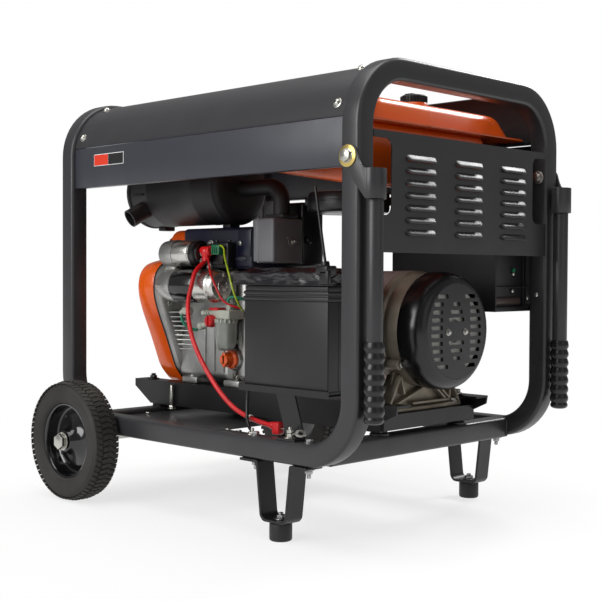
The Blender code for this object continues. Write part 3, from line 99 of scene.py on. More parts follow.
# %% Colour and node helpers
def linear(code):
    """A hex colour as linear red, green, blue, alpha."""
    parts = [int(code[i:i + 2], 16) / 255 for i in (1, 3, 5)]
    return tuple(c / 12.92 if c <= 0.04045 else ((c + 0.055) / 1.055) ** 2.4 for c in parts) + (1.0,)


def add(tree, kind, links=None, **settings):
    """One shader node: plain settings by name, and inputs as values or as sockets to link."""
    made = tree.nodes.new(kind)
    for name, value in settings.items():
        setattr(made, name, value)
    for key, value in (links or {}).items():
        socket = made.inputs[key]
        if isinstance(value, bpy.types.NodeSocket):
            tree.links.new(value, socket)
        else:
            socket.default_value = value
    return made


def finish_named(name, metallic=0.0, **constants):
    """A Principled material with its constant sockets set. Returns material, tree and shader."""
    made = bpy.data.materials.new(name)
    made.use_nodes = True
    shader = made.node_tree.nodes["Principled BSDF"]
    shader.inputs["Metallic"].default_value = metallic
    for key, value in constants.items():
        shader.inputs[key.replace("_", " ")].default_value = value
    return made, made.node_tree, shader


print("middle grey in linear light", round(linear("#808080")[0], 4))


# %% [markdown]
# ## One recipe for coated, cast and moulded surfaces
# Powder coat has an orange-peel skin a millimetre or two across, and moulded plastic, rubber and
# castings have a finer one. All of them vary a little in colour and gloss over a hand's width, and
# gather pale dust where they face up. Each could have its own node tree, but they would differ only
# in numbers, so one recipe takes the grain size in millimetres, its height, the two colours it
# wanders between, and the dust.

# %% The grained surface recipe
def grained(name, colour, other, rough, grain_mm, height_mm, metallic=0.0, wander_mm=70.0,
            dust=0.0, dust_colour="#8a8780", **constants):
    """A surface whose colour, gloss and skin all vary, at scales given in millimetres."""
    made, tree, shader = finish_named(name, metallic, **constants)
    place = add(tree, "ShaderNodeTexCoord").outputs["Object"]
    broad = add(tree, "ShaderNodeTexNoise", {"Vector": place, "Scale": 1000 / wander_mm, "Detail": 4.0})
    fine = add(tree, "ShaderNodeTexNoise", {"Vector": place, "Scale": 1000 / grain_mm, "Detail": 2.0})
    tone = add(tree, "ShaderNodeMapRange", {
        "Value": broad.outputs["Fac"], "From Min": 0.32, "From Max": 0.68})
    mixed = add(tree, "ShaderNodeMix", {
        "Factor": tone.outputs["Result"], "A": linear(colour), "B": linear(other)},
        data_type="RGBA")
    # dust lies on what faces up, broken up by the broad noise
    facing = add(tree, "ShaderNodeSeparateXYZ", {
        "Vector": add(tree, "ShaderNodeNewGeometry").outputs["Normal"]})
    upward = add(tree, "ShaderNodeMapRange", {
        "Value": facing.outputs["Z"], "From Min": 0.55, "From Max": 1.0, "To Max": dust})
    settled = add(tree, "ShaderNodeMath", {0: upward.outputs["Result"], 1: tone.outputs["Result"]},
                  operation="MULTIPLY")
    dusty = add(tree, "ShaderNodeMix", {
        "Factor": settled.outputs["Value"], "A": mixed.outputs["Result"], "B": linear(dust_colour)},
        data_type="RGBA")
    gloss = add(tree, "ShaderNodeMapRange", {
        "Value": broad.outputs["Fac"], "From Min": 0.3, "From Max": 0.7,
        "To Min": rough - 0.05, "To Max": rough + 0.06})
    skin = add(tree, "ShaderNodeBump", {
        "Height": fine.outputs["Fac"], "Distance": height_mm / 1000, "Strength": 1.0})
    tree.links.new(dusty.outputs["Result"], shader.inputs["Base Color"])
    tree.links.new(gloss.outputs["Result"], shader.inputs["Roughness"])
    tree.links.new(skin.outputs["Normal"], shader.inputs["Normal"])
    return made


# %% [markdown]
# ## Drawn and turned metal
# Machined steel, drawn solenoid cans and zinc-plated fasteners show fine lines that run round or
# along the piece. Stretching a noise along one axis draws those lines: a Mapping node squeezes the
# pattern across the lines and leaves it long along them.

# %% The lined metal recipe
def lined(name, colour, other, rough, line_mm, along, height_mm=0.01, metallic=1.0, **constants):
    """A metal with fine lines along one axis: 0 for X, 1 for Y, 2 for Z."""
    made, tree, shader = finish_named(name, metallic, **constants)
    place = add(tree, "ShaderNodeTexCoord").outputs["Object"]
    stretch = [1000 / line_mm] * 3
    stretch[along] = 1000 / (line_mm * 30)
    squeezed = add(tree, "ShaderNodeMapping", {"Vector": place, "Scale": stretch})
    lines = add(tree, "ShaderNodeTexNoise", {
        "Vector": squeezed.outputs["Vector"], "Scale": 1.0, "Detail": 3.0})
    broad = add(tree, "ShaderNodeTexNoise", {"Vector": place, "Scale": 40.0, "Detail": 3.0})
    tone = add(tree, "ShaderNodeMix", {
        "Factor": broad.outputs["Fac"], "A": linear(colour), "B": linear(other)}, data_type="RGBA")
    gloss = add(tree, "ShaderNodeMapRange", {
        "Value": lines.outputs["Fac"], "From Min": 0.3, "From Max": 0.7,
        "To Min": rough - 0.06, "To Max": rough + 0.08})
    skin = add(tree, "ShaderNodeBump", {
        "Height": lines.outputs["Fac"], "Distance": height_mm / 1000, "Strength": 0.6})
    tree.links.new(tone.outputs["Result"], shader.inputs["Base Color"])
    tree.links.new(gloss.outputs["Result"], shader.inputs["Roughness"])
    tree.links.new(skin.outputs["Normal"], shader.inputs["Normal"])
    return made


# %% [markdown]
# ## The finishes of this machine
# The frame and sheets are polyester powder coat in charcoal, satin with a slight orange peel. Tank and
# fan shroud are orange enamel, baked and glossy. The engine's crankcase is die-cast aluminium, the
# alternator's housings are sand-cast. Starter cans and fasteners are zinc plated. Tyres, feet and
# grips are moulded rubber. Covers, caps and the battery are moulded plastic.

# %% Finishes
charcoal = grained("charcoal_powder_coat", "#353537", "#2e2e30", 0.34, 1.6, 0.03, dust=0.15,
                   dust_colour="#6a6a6c")
panel_grey = grained("blue_grey_powder_coat", "#373941", "#303239", 0.38, 1.6, 0.03)
rail_grey = grained("rail_powder_coat", "#42413e", "#393836", 0.42, 1.6, 0.03, dust=0.25)
satin_black = grained("satin_black_powder_coat", "#0e0e10", "#09090a", 0.4, 1.4, 0.03, dust=0.04)
orange = grained("baked_orange_enamel", "#f0620c", "#e4560a", 0.26, 3.0, 0.02, wander_mm=120,
                 Coat_Weight=0.4, Coat_Roughness=0.12)
gloss_black = grained("gloss_black_enamel", "#060607", "#0a0a0c", 0.16, 3.0, 0.02,
                      Coat_Weight=0.5, Coat_Roughness=0.06)
stove_black = grained("heatproof_stove_paint", "#1f1d20", "#171518", 0.55, 0.9, 0.05)
die_cast = grained("die_cast_aluminium", "#b9b9b6", "#9c9c9a", 0.42, 1.2, 0.06, metallic=1.0, wander_mm=35)
sand_cast = grained("sand_cast_aluminium", "#a59a98", "#8b8382", 0.5, 0.9, 0.1, metallic=1.0, wander_mm=40)
steel = lined("ground_steel", "#b4b4b4", "#8f8f90", 0.32, 0.5, 0)
drawn_zinc = lined("drawn_zinc_plated_can", "#d9d8d2", "#b8b7b2", 0.27, 0.6, 0)
zinc = lined("zinc_plated_fastener", "#d2d0c8", "#a9a8a3", 0.28, 0.4, 2)
yellow_zinc = lined("yellow_passivated_zinc", "#d9c27a", "#b9a35e", 0.3, 0.4, 2)
rubber = grained("moulded_rubber", "#151516", "#0f0f10", 0.5, 0.8, 0.04, dust=0.06)
tyre_rubber = grained("tyre_rubber", "#2e2c29", "#242220", 0.7, 0.8, 0.05, dust=0.3)
plastic = grained("moulded_black_plastic", "#111113", "#0b0b0d", 0.34, 0.7, 0.03)
battery_plastic = grained("polypropylene_battery_case", "#161618", "#101012", 0.4, 0.6, 0.03)
red_pvc = grained("soft_red_pvc", "#d81a20", "#c01218", 0.34, 2.0, 0.02, wander_mm=30)
filter_plastic = grained("pale_filter_plastic", "#b9bdb0", "#a4a99c", 0.3, 1.5, 0.02)
turned_brass = lined("turned_brass", "#d8b566", "#b8924a", 0.28, 0.5, 1)
print("finishes", len([m for m in bpy.data.materials if m.use_nodes]))

# %% [markdown]
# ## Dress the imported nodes
# Every node that stays in view takes its finish through its material slots. Where a finer shape
# follows below, that piece stands for the node and the node is hidden.

# %% Give each node its finish
dress = {
    charcoal: ["frame_wheel_end", "frame_alternator_end", "cover_near", "cover_far", "heat_shield",
               "handle_near", "handle_far", "control_box"],
    panel_grey: ["side_panel_near", "side_panel_far"],
    orange: ["fuel_tank", "fan_shroud", "oil_plug"],
    satin_black: ["foot_bracket_near", "foot_bracket_far", "engine_subframe", "battery_tray",
                  "cylinder_duct", "starter_motor"],
    gloss_black: ["rim_near", "rim_far"],
    stove_black: ["muffler"],
    die_cast: ["crankcase", "head_cover"],
    sand_cast: ["alternator_bell", "stator_drum", "alternator_end_bracket"],
    steel: ["crankshaft", "flywheel", "alternator_rotor"],
    drawn_zinc: ["solenoid"],
    zinc: ["axle", "pivot_bolt_near", "pivot_bolt_far", "key_switch"],
    rubber: ["foot_rubber_near", "foot_rubber_far", "mount_near_wheel_end", "mount_far_wheel_end",
             "mount_near_alternator_end", "mount_far_alternator_end", "grip_near", "grip_far"],
    tyre_rubber: ["tyre_near", "tyre_far"],
    plastic: ["air_cleaner", "alternator_end_cover", "fuel_cap", "battery_cover", "current_knob",
              "breaker_toggle", "ground_lead"],
    battery_plastic: ["battery_case"],
    red_pvc: ["badge_plate", "terminal_boot", "battery_lead", "lead_lug_boot"],
    filter_plastic: ["fuel_filter"],
    turned_brass: ["weld_terminal_positive", "weld_terminal_negative"],
}
dressed = set()
for material, names in dress.items():
    for name in names:
        node = nodes[name]
        if not node.material_slots:
            node.data.materials.append(material)
        for slot in node.material_slots:
            slot.material = material
        dressed.add(name)
print("left without a finish:", sorted(set(nodes) - dressed))
# %% [markdown]
# ## Tools of the workshop
# Each new piece is built in one bmesh, already in its place, and then closed off by the same
# function: it merges doubles, turns the normals outwards, shades it smooth with sharp edges kept,
# gives it its finish and lets it ride on its body. Turned shapes are spun from a profile, pipes are a
# ring pushed and bent along their route, and sheets are outlines pushed to their thickness.

# %% Finishing a piece
def piece(name, build, material, body="frame", stands_for=(), sharp=32, outward=True):
    """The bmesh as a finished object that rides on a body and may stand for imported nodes."""
    bmesh.ops.remove_doubles(build, verts=build.verts[:], dist=0.000002)
    if outward:
        bmesh.ops.recalc_face_normals(build, faces=build.faces[:])
    data = bpy.data.meshes.new(name)
    build.to_mesh(data)
    build.free()
    data.shade_smooth()
    data.set_sharp_from_angle(angle=math.radians(sharp))
    for finish in material if isinstance(material, (list, tuple)) else [material]:
        data.materials.append(finish)
    made = linked(name, data)
    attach(made, body)
    if stands_for:
        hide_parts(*stands_for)
    print(name, len(data.polygons), "faces")
    return made


# %% [markdown]
# ## Shape tools
# Castings, sheets, pipes and fasteners come down to a few moves: round an edge over, spin a profile,
# fill an outline, push a ring. Modifiers could do them one object at a time. As operators on one
# bmesh they can be repeated in a loop, so each move is a short function.

# %% Small tools
def round_off(build, edges, offset, segments):
    """Rounds edges over."""
    bmesh.ops.bevel(build, geom=list(dict.fromkeys(edges)), offset=offset, segments=segments, profile=0.5,
                    affect="EDGES", material=-1)


def lay_in(build, part, move=None):
    """Copies a small bmesh into the one being built, moved by a matrix if one is given."""
    if move is not None:
        bmesh.ops.transform(part, verts=part.verts[:], matrix=move)
    loose = bpy.data.meshes.new("part")
    part.to_mesh(loose)
    part.free()
    build.from_mesh(loose)
    bpy.data.meshes.remove(loose)


def joined_to(vertices):
    """Every vertex that edges lead to from the given ones."""
    found = {}
    front = [vertex for vertex in vertices if vertex.is_valid]
    while front:
        vertex = front.pop()
        if vertex not in found:
            found[vertex] = True
            front += [edge.other_vert(vertex) for edge in vertex.link_edges]
    return list(found)


def verts_of(result, key="geom"):
    """The vertices in what an operator gave back."""
    return [item for item in result[key] if isinstance(item, bmesh.types.BMVert)]


def edges_of(result, key="geom"):
    """The edges in what an operator gave back."""
    return [item for item in result[key] if isinstance(item, bmesh.types.BMEdge)]


def faces_of(result, key="geom"):
    """The faces in what an operator gave back."""
    return [item for item in result[key] if isinstance(item, bmesh.types.BMFace)]


def polar(radius, degrees):
    """The pair of numbers at a radius and an angle."""
    return radius * math.cos(math.radians(degrees)), radius * math.sin(math.radians(degrees))


def facing(direction, place):
    """The transform that takes +Z to a direction and the origin to a place."""
    return Matrix.Translation(place) @ Vector((0, 0, 1)).rotation_difference(
        Vector(direction)).to_matrix().to_4x4()


print("polar(1, 90) is", [round(number, 6) for number in polar(1, 90)])


# %% Blocks, rods and turned shapes
def block(build, x, y, z, bevel=0.0, segments=3):
    """A block between two numbers on each axis, its edges rounded."""
    size = Vector((x[1] - x[0], y[1] - y[0], z[1] - z[0]))
    middle = Vector((x[1] + x[0], y[1] + y[0], z[1] + z[0])) / 2
    made = bmesh.ops.create_cube(build, size=1.0, matrix=Matrix.Translation(middle) @ Matrix.Diagonal(
        (*size, 1.0)))
    if bevel:
        round_off(build, [edge for vertex in made["verts"] for edge in vertex.link_edges], bevel, segments)
    return made


def rod(build, start, direction, radius, length, sides=32, bevel=0.0, tip=None):
    """A round bar from start along a direction, its end edges rounded."""
    place = facing(direction, Vector(start) + Vector(direction).normalized() * length / 2)
    made = bmesh.ops.create_cone(build, cap_ends=True, segments=sides, radius1=radius,
                                 radius2=radius if tip is None else tip, depth=length, matrix=place)
    if bevel:
        ends = [face for vertex in made["verts"] for face in vertex.link_faces if len(face.verts) == sides]
        round_off(build, [edge for face in ends for edge in face.edges], bevel, 2)


def turned(build, profile, start, direction, steps=48):
    """A profile of (radius, height) points spun once about a direction through start."""
    chain = [build.verts.new((radius, 0.0, height)) for radius, height in profile]
    edges = [build.edges.new(pair) for pair in zip(chain, chain[1:])]
    bmesh.ops.spin(build, geom=chain + edges, cent=(0, 0, 0), axis=(0, 0, 1), dvec=(0, 0, 0),
                   angle=math.tau, steps=steps, use_merge=True)
    bmesh.ops.transform(build, matrix=facing(direction, start), verts=joined_to(chain))


def hex_bolt(build, place, direction, across, height, washer=0.0, washer_height=0.0015):
    """A bolt head or nut with a chamfered top, over a round washer if one is given."""
    direction = Vector(direction).normalized()
    place = Vector(place)
    if washer:
        rod(build, place, direction, washer, washer_height, 28, bevel=washer_height * 0.3)
        place = place + direction * washer_height
    rod(build, place, direction, across / math.sqrt(3), height, 6, bevel=height * 0.14)
    return place + direction * height


# %% Sheets cut from outlines
def placed(axis, at, pair):
    """A pair on the two other axes as a point at a station along an axis."""
    a, b = pair
    return {"X": (at, a, b), "Y": (a, at, b), "Z": (a, b, at)}[axis]


def closed_loop(build, points):
    """New edges round a closed line of points."""
    corners = [build.verts.new(point) for point in points]
    return [build.edges.new((corners[i - 1], corners[i])) for i in range(len(corners))]


def outline_sheet(build, outline, axis, start, end, bevel=0.0, segments=2):
    """A flat outline, as pairs on the two other axes, pushed along an axis."""
    base = build.faces.new([build.verts.new(placed(axis, start, pair)) for pair in outline])
    pushed = bmesh.ops.extrude_face_region(build, geom=[base], use_keep_orig=True)
    bmesh.ops.translate(build, verts=verts_of(pushed), vec=placed(axis, end - start, (0, 0)))
    if bevel:
        rims = list(base.edges) + [edge for face in faces_of(pushed) for edge in face.edges]
        round_off(build, rims, bevel, segments)


def pierced_sheet(build, outlines, axis, at, thickness):
    """A sheet cut to its first outline, the others left as holes, with its thickness behind it."""
    edges = [edge for outline in outlines
             for edge in closed_loop(build, [placed(axis, at, pair) for pair in outline])]
    bmesh.ops.triangle_fill(build, use_beauty=True, use_dissolve=False, edges=edges,
                            normal=placed(axis, 1, (0, 0)))
    pushed = bmesh.ops.extrude_face_region(build, geom=build.faces[:], use_keep_orig=True)
    bmesh.ops.translate(build, verts=verts_of(pushed), vec=placed(axis, -thickness, (0, 0)))


def arc_points(centre, radius, start, end, steps):
    """Points of an arc in degrees, as pairs."""
    turns = [polar(radius, start + (end - start) * i / steps) for i in range(steps + 1)]
    return [(centre[0] + a, centre[1] + b) for a, b in turns]


def rounded_outline(points, radius, steps=5):
    """A closed outline with each corner rounded by up to the radius."""
    made = []
    count = len(points)
    for i, here in enumerate(points):
        here = Vector(here)
        before = Vector(points[i - 1]) - here
        after = Vector(points[(i + 1) % count]) - here
        reach = min(radius, before.length * 0.48, after.length * 0.48)
        first, last = here + before.normalized() * reach, here + after.normalized() * reach
        for k in range(steps + 1):
            t = k / steps
            made.append(tuple(first * (1 - t) ** 2 + here * (2 * t * (1 - t)) + last * t ** 2))
    return made


def rounded_rectangle(a, b, radius, steps=5):
    """A rectangle between two numbers each way, its corners rounded."""
    return rounded_outline([(a[0], b[0]), (a[1], b[0]), (a[1], b[1]), (a[0], b[1])], radius, steps)


print("a rounded rectangle has", len(rounded_rectangle((0, 2), (0, 1), 0.1)), "points")


# %% Pipes
def ring(build, section, place, across, up):
    """A closed loop of edges: section pairs laid along two directions about a place."""
    return closed_loop(build, [Vector(place) + Vector(across) * a + Vector(up) * b for a, b in section])


def push(build, edges, step):
    """The ring pulled on along a straight stretch. Returns the new ring."""
    made = bmesh.ops.extrude_edge_only(build, edges=edges)
    bmesh.ops.translate(build, verts=verts_of(made), vec=step)
    far = set(verts_of(made))
    return [edge for edge in edges_of(made) if edge.verts[0] in far and edge.verts[1] in far]


def bend(build, edges, centre, axis, angle, steps):
    """The ring carried round a bend. Returns the new ring."""
    made = bmesh.ops.spin(build, geom=edges, cent=centre, axis=axis, dvec=(0, 0, 0),
                          angle=math.radians(angle), steps=steps, use_merge=False)
    return [item for item in made["geom_last"] if isinstance(item, bmesh.types.BMEdge)]


def square_section(half_a, half_b, corner, steps=4):
    """A rectangle with round corners, as pairs round the loop."""
    pairs = []
    for sign_a, sign_b, start in ((1, 1, 0), (-1, 1, 90), (-1, -1, 180), (1, -1, 270)):
        centre = (sign_a * (half_a - corner), sign_b * (half_b - corner))
        pairs += arc_points(centre, corner, start, start + 90, steps)
    return pairs


print("the frame tube's section has", len(square_section(TUBE / 2, TUBE / 2, 0.0052)), "points")


# %% Cords and weld beads
def smooth_line(points, steps):
    """A smooth curve through the points."""
    points = [Vector(p) for p in points]
    ends = [2 * points[0] - points[1]] + points + [2 * points[-1] - points[-2]]
    made = []
    for a, b, c, d in zip(ends, ends[1:], ends[2:], ends[3:]):
        for k in range(steps):
            t = k / steps
            made.append(0.5 * (2 * b + (c - a) * t + (2 * a - 5 * b + 4 * c - d) * t ** 2
                               + (3 * b - a - 3 * c + d) * t ** 3))
    return made + [points[-1]]


def free_cord(name, route, diameter, material, stands_for=()):
    """A round wire or hose on a smooth curve through its route."""
    line = smooth_line(route, 4)
    data = bpy.data.curves.new(name, "CURVE")
    data.dimensions = "3D"
    data.bevel_depth = diameter / 2
    data.bevel_resolution = 4
    data.use_fill_caps = True
    spline = data.splines.new("POLY")
    spline.points.add(len(line) - 1)
    for point, place in zip(spline.points, line):
        point.co = (*place, 1.0)
    spline.use_smooth = True
    data.materials.append(material)
    made = linked(name, data)
    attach(made, "frame")
    if stands_for:
        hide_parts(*stands_for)


def weld_bead(build, start, end, size=0.0022, spacing=0.0021):
    """A row of overlapping flattened drops along a seam, as an arc welder leaves."""
    start, end = Vector(start), Vector(end)
    count = max(2, int((end - start).length / spacing))
    for i in range(count + 1):
        place = start.lerp(end, i / count)
        bmesh.ops.create_icosphere(build, subdivisions=1, radius=size * (1 + 0.15 * math.sin(i * 2.3)),
                                   matrix=Matrix.Translation(place))


print("a smooth line through 3 points has", len(smooth_line([(0, 0, 0), (1, 0, 0), (1, 1, 0)], 4)))


# %% [markdown]
# ## Tube frame
# The frame is 33 mm square tube, bent cold at a 100 mm outer radius and welded into one loop: two
# rails along the ground, and an arch at each end. A curve with a square section would pinch in the
# bends. Instead a ring of edges is pushed along each straight and spun round each bend, so the walls
# stay even, and the last ring meets the first.

# %% The tube loop
build = bmesh.new()
section = square_section(TUBE / 2, TUBE / 2, 0.0052)
loop = ring(build, section, (0.0, -RAIL_Y, RAIL_Z), (0, 1, 0), (0, 0, 1))
straight = POST_X - BEND
arch_y, arch_z = RAIL_Y - BEND, TOP_Z - BEND
for sign in (1, -1):
    side = -sign
    loop = push(build, loop, (sign * straight, 0, 0))
    loop = bend(build, loop, (sign * straight, side * RAIL_Y, RAIL_Z + BEND), (0, -sign, 0), 90, 14)
    loop = push(build, loop, (0, 0, arch_z - RAIL_Z - BEND))
    loop = bend(build, loop, (sign * POST_X, side * arch_y, arch_z), (-sign, 0, 0), 90, 14)
    loop = push(build, loop, (0, sign * 2 * arch_y, 0))
    loop = bend(build, loop, (sign * POST_X, sign * arch_y, arch_z), (-sign, 0, 0), 90, 14)
    loop = push(build, loop, (0, 0, -(arch_z - RAIL_Z - BEND)))
    loop = bend(build, loop, (sign * straight, sign * RAIL_Y, RAIL_Z + BEND), (0, sign, 0), 90, 14)
    loop = push(build, loop, (-sign * straight, 0, 0))
piece("tube_frame", build, charcoal, stands_for=("frame_wheel_end", "frame_alternator_end"), sharp=50)

# %% [markdown]
# ## Cross bars and base plate
# Two lengths of the same tube are welded across the loop, and a sheet closes the engine's end. The
# bars reuse the tube's section in one push, and rows of flattened drops stand for the weld beads.

# %% Cross bars and base plate
build = bmesh.new()
for x in (-0.2625, 0.2625):
    loop = ring(build, section, (x, -SIDE_Y + TUBE, RAIL_Z), (1, 0, 0), (0, 0, 1))
    push(build, loop, (0, 2 * (SIDE_Y - TUBE), 0))
    for side in (-1, 1):
        y = side * (SIDE_Y - TUBE - 0.0004)
        for x_edge in (-0.0165, 0.0165):
            weld_bead(build, (x + x_edge, y, RAIL_LOW + 0.004), (x + x_edge, y, RAIL_TOP - 0.004))
        weld_bead(build, (x - 0.013, y, RAIL_TOP - 0.0012), (x + 0.013, y, RAIL_TOP - 0.0012))
piece("cross_bars", build, charcoal, sharp=50)

build = bmesh.new()
block(build, (-0.247, 0.012), (-SIDE_Y + TUBE, SIDE_Y - TUBE), (RAIL_TOP - 0.01, RAIL_TOP - 0.008), 0.0006, 2)
for x in (-0.2, -0.12, -0.04):
    for side in (-1, 1):
        weld_bead(build, (x, side * (SIDE_Y - TUBE), RAIL_TOP - 0.008),
                  (x + 0.03, side * (SIDE_Y - TUBE), RAIL_TOP - 0.008))
piece("base_plate", build, charcoal)

# %% [markdown]
# ## Curved covers and side panels
# Two sheets of steel, rolled to just inside the top bends, close the machine's shoulders. Screws with
# captive washers hold them to the posts. A flat side panel carries on below each cover, with a dark
# seam where the two meet. A cover could be cut from a cylinder, but one edge spun about the bend's
# axis needs no trimming.

# %% Rolled covers
COVER_HALF, COVER_RADIUS = END_X - TUBE - 0.0005, 0.094
for side, suffix in SIDES:
    build = bmesh.new()
    axis_y, axis_z = side * (SIDE_Y - BEND_OUTER), FRAME_TOP - BEND_OUTER
    out, up = polar(COVER_RADIUS, 9.0)
    edge_ends = [build.verts.new((x, axis_y + side * out, axis_z + up)) for x in (-COVER_HALF, COVER_HALF)]
    edge = build.edges.new(edge_ends)
    bmesh.ops.spin(build, geom=edge_ends + [edge], cent=(0, axis_y, axis_z), axis=(1, 0, 0),
                   dvec=(0, 0, 0), angle=math.radians(66.0) * side, steps=36, use_merge=False)
    bmesh.ops.recalc_face_normals(build, faces=build.faces[:])
    bmesh.ops.solidify(build, geom=build.faces[:] + build.edges[:] + build.verts[:], thickness=0.0015)
    piece(f"rolled_cover_{suffix}", build, charcoal, stands_for=(f"cover_{suffix}",), sharp=40)
    # screws with their washers; the hex sockets are not cut, and a black hex disc on each head is painted
    # shade for the recess
    build = bmesh.new()
    socket_shade = bmesh.new()
    for x in (-0.303, 0.303):
        for angle in (20.0, 66.0):
            out, up = polar(1.0, angle)
            out = Vector((0, side * out, up))
            place = Vector((x, axis_y, axis_z)) + out * (COVER_RADIUS + 0.0001)
            turned(build, [(0.0, 0.0008), (0.0062, 0.0008), (0.0074, 0.0004), (0.0076, 0.0)], place, out, 28)
            turned(build, [(0.0, 0.0048), (0.002, 0.0046), (0.0038, 0.0036), (0.0048, 0.0018),
                           (0.005, 0.0006)], place, out, 24)
            # a thin black hexagon on the head is painted shade standing for the socket's recess
            rod(socket_shade, place + out * 0.0043, out, 0.0021, 0.0006, 6)
    piece(f"cover_screws_{suffix}", build, zinc)
    piece(f"cover_screw_socket_shade_{suffix}", socket_shade, satin_black)

# %% Side panels
for side, suffix in SIDES:
    build = bmesh.new()
    block(build, (-COVER_HALF, COVER_HALF), sorted((side * 0.2429, side * 0.2411)), (0.5395, 0.608),
          0.0008, 2)
    # the lower edge is folded inwards for stiffness
    block(build, (-COVER_HALF + 0.002, COVER_HALF - 0.002), sorted((side * 0.2425, side * 0.229)),
          (0.5395, 0.5411), 0.0006, 2)
    block(build, (-COVER_HALF + 0.001, COVER_HALF - 0.001), sorted((side * 0.2412, side * 0.206)),
          (0.609, 0.6108))
    piece(f"panel_{suffix}", build, panel_grey, stands_for=(f"side_panel_{suffix}",))

# %% [markdown]
# ## Name badge
# The near side panel carries a small screen-printed badge: an orange-red field at the left, a black
# field at the right and a thin white border. Nothing is written on it. A printed texture could carry
# it, but thin blocks stay sharp at any size.

# %% Badge
white_print = grained("white_screen_print", "#e6e6e4", "#dddddb", 0.45, 1.0, 0.005)
red_print = grained("orange_red_screen_print", "#e0371a", "#d83216", 0.42, 1.0, 0.005)
black_print = grained("black_screen_print", "#17171a", "#131316", 0.42, 1.0, 0.005)
build = bmesh.new()
block(build, (-0.262, -0.178), (-0.24355, -0.2431), (0.575, 0.5953), 0.0004, 2)
piece("badge_border", build, white_print, stands_for=("badge_plate",))
build = bmesh.new()
block(build, (-0.2608, -0.2215), (-0.24385, -0.2435), (0.5762, 0.5941))
piece("badge_left_field", build, red_print)
build = bmesh.new()
block(build, (-0.2207, -0.1792), (-0.24385, -0.2435), (0.5762, 0.5941))
piece("badge_right_field", build, black_print)

# %% [markdown]
# ## Louvred end sheet
# A pressed steel sheet closes the alternator end under the tank. Each louvre is slit and pressed
# outwards in one stroke, which leaves a smooth hood, open along its lower edge. Booleans would leave
# thin slivers round the slits, so the sheet is an outline filled with its slits left open, and one
# hood, a shaped grid, is repeated on it in three columns of seven.

# %% End sheet with its slits
SHEET_X = END_X - 0.0015
LOUVRE_Y = (-0.1115, 0.0045, 0.122)
LOUVRE_Z = [0.5557 - 0.0176 * row for row in range(7)]
LOUVRE_HALF = 0.035
half = SIDE_Y - TUBE + 0.0001
right = [(half, 0.4215), (half, 0.4737)]
right += arc_points((0.189, 0.4857), 0.012, 270, 180, 6) + arc_points((0.189, 0.568), 0.012, 180, 90, 6)
right += [(half, 0.58), (half, 0.5905)]
rim = right + [(-y, z) for y, z in reversed(right)]
slits = [rounded_rectangle((y - 0.032, y + 0.032), (z - 0.004, z + 0.0005), 0.002, 3)
         for y in LOUVRE_Y for z in LOUVRE_Z]
build = bmesh.new()
pierced_sheet(build, [rim] + slits, "X", SHEET_X, 0.0018)
piece("end_sheet", build, charcoal, stands_for=("heat_shield",))
print("slits", len(slits))

# %% Louvre hoods
build = bmesh.new()
ACROSS, DOWN = 44, 9
for y in LOUVRE_Y:
    for z in LOUVRE_Z:
        made = bmesh.ops.create_grid(build, x_segments=ACROSS, y_segments=DOWN, size=1.0)
        for vertex in made["verts"]:
            s, t = vertex.co.x, (1 - vertex.co.y) / 2
            # the ends round off over the last 9 mm, and the lip stands out furthest
            run = max(0.0, (abs(s) * LOUVRE_HALF - (LOUVRE_HALF - 0.009)) / 0.009)
            swell = math.sqrt(max(0.0, 1 - run * run))
            rise = 0.0053 * swell * math.sin(t * math.pi / 2) ** 1.3
            drop = 0.0095 * (0.35 + 0.65 * swell)
            vertex.co = Vector((SHEET_X - 0.0002 + rise, y + s * LOUVRE_HALF,
                                z + 0.0055 - (1 - swell) * 0.002 - t * drop))
bmesh.ops.recalc_face_normals(build, faces=build.faces[:])
if sum(face.normal.x for face in build.faces) < 0:
    bmesh.ops.reverse_faces(build, faces=build.faces[:])
hoods = piece("louvre_hoods", build, charcoal, sharp=60, outward=False)
hoods.data.shade_smooth()
thick = hoods.modifiers.new("sheet", "SOLIDIFY")
thick.thickness = 0.0011
thick.offset = -1

# %% [markdown]
# ## Fuel tank
# Two pressings, a lid with sloping sides and a sump below, are seam-welded along a flat flange that
# rests on the side panels. A block whose top is drawn in and whose edges are rolled over at a wide
# radius gives the lid with less work than a curved cage. The cap is turned, with ribs round it.

# %% Tank
FILLER = Vector((0.257, -0.012, 0.649))
build = bmesh.new()
made = block(build, (-0.283, 0.3065), (-0.1955, 0.1955), (0.614, 0.65))
for vertex in made["verts"]:
    if vertex.co.z > 0.64:
        vertex.co.x = -0.268 if vertex.co.x < 0 else 0.2975
        vertex.co.y = math.copysign(0.169, vertex.co.y)
uprights = [edge for edge in build.edges if abs(edge.verts[0].co.z - edge.verts[1].co.z) > 0.01]
round_off(build, uprights, 0.03, 8)
top_rim = [edge for edge in build.edges if min(v.co.z for v in edge.verts) > 0.6499]
round_off(build, top_rim, 0.013, 6)
# two shallow panels stand out of the lid
for x0, x1 in ((-0.235, -0.02), (0.005, 0.205)):
    outline_sheet(build, rounded_rectangle((x0, x1), (-0.125, 0.125), 0.03, 8), "Z", 0.648, 0.6508,
                  0.0011, 3)
outline_sheet(build, rounded_rectangle((-0.293, 0.317), (-0.217, 0.217), 0.028, 8), "Z", 0.61135, 0.6144,
              0.0009, 2)
# the sump slopes down to the alternator end
sump = bmesh.new()
outline_sheet(sump, rounded_outline([(-0.05, 0.613), (-0.05, 0.575), (0.302, 0.517), (0.302, 0.613)],
                                    0.016, 6), "Y", -0.19, 0.114, 0.008, 4)
lay_in(build, sump)
turned(build, [(0.017, 0.0), (0.017, 0.0068), (0.0178, 0.0074), (0.02, 0.0074), (0.021, 0.0064),
               (0.0216, 0.0015), (0.025, 0.0)], FILLER, (0, 0, 1), 48)
piece("tank", build, orange, stands_for=("fuel_tank",), sharp=40)

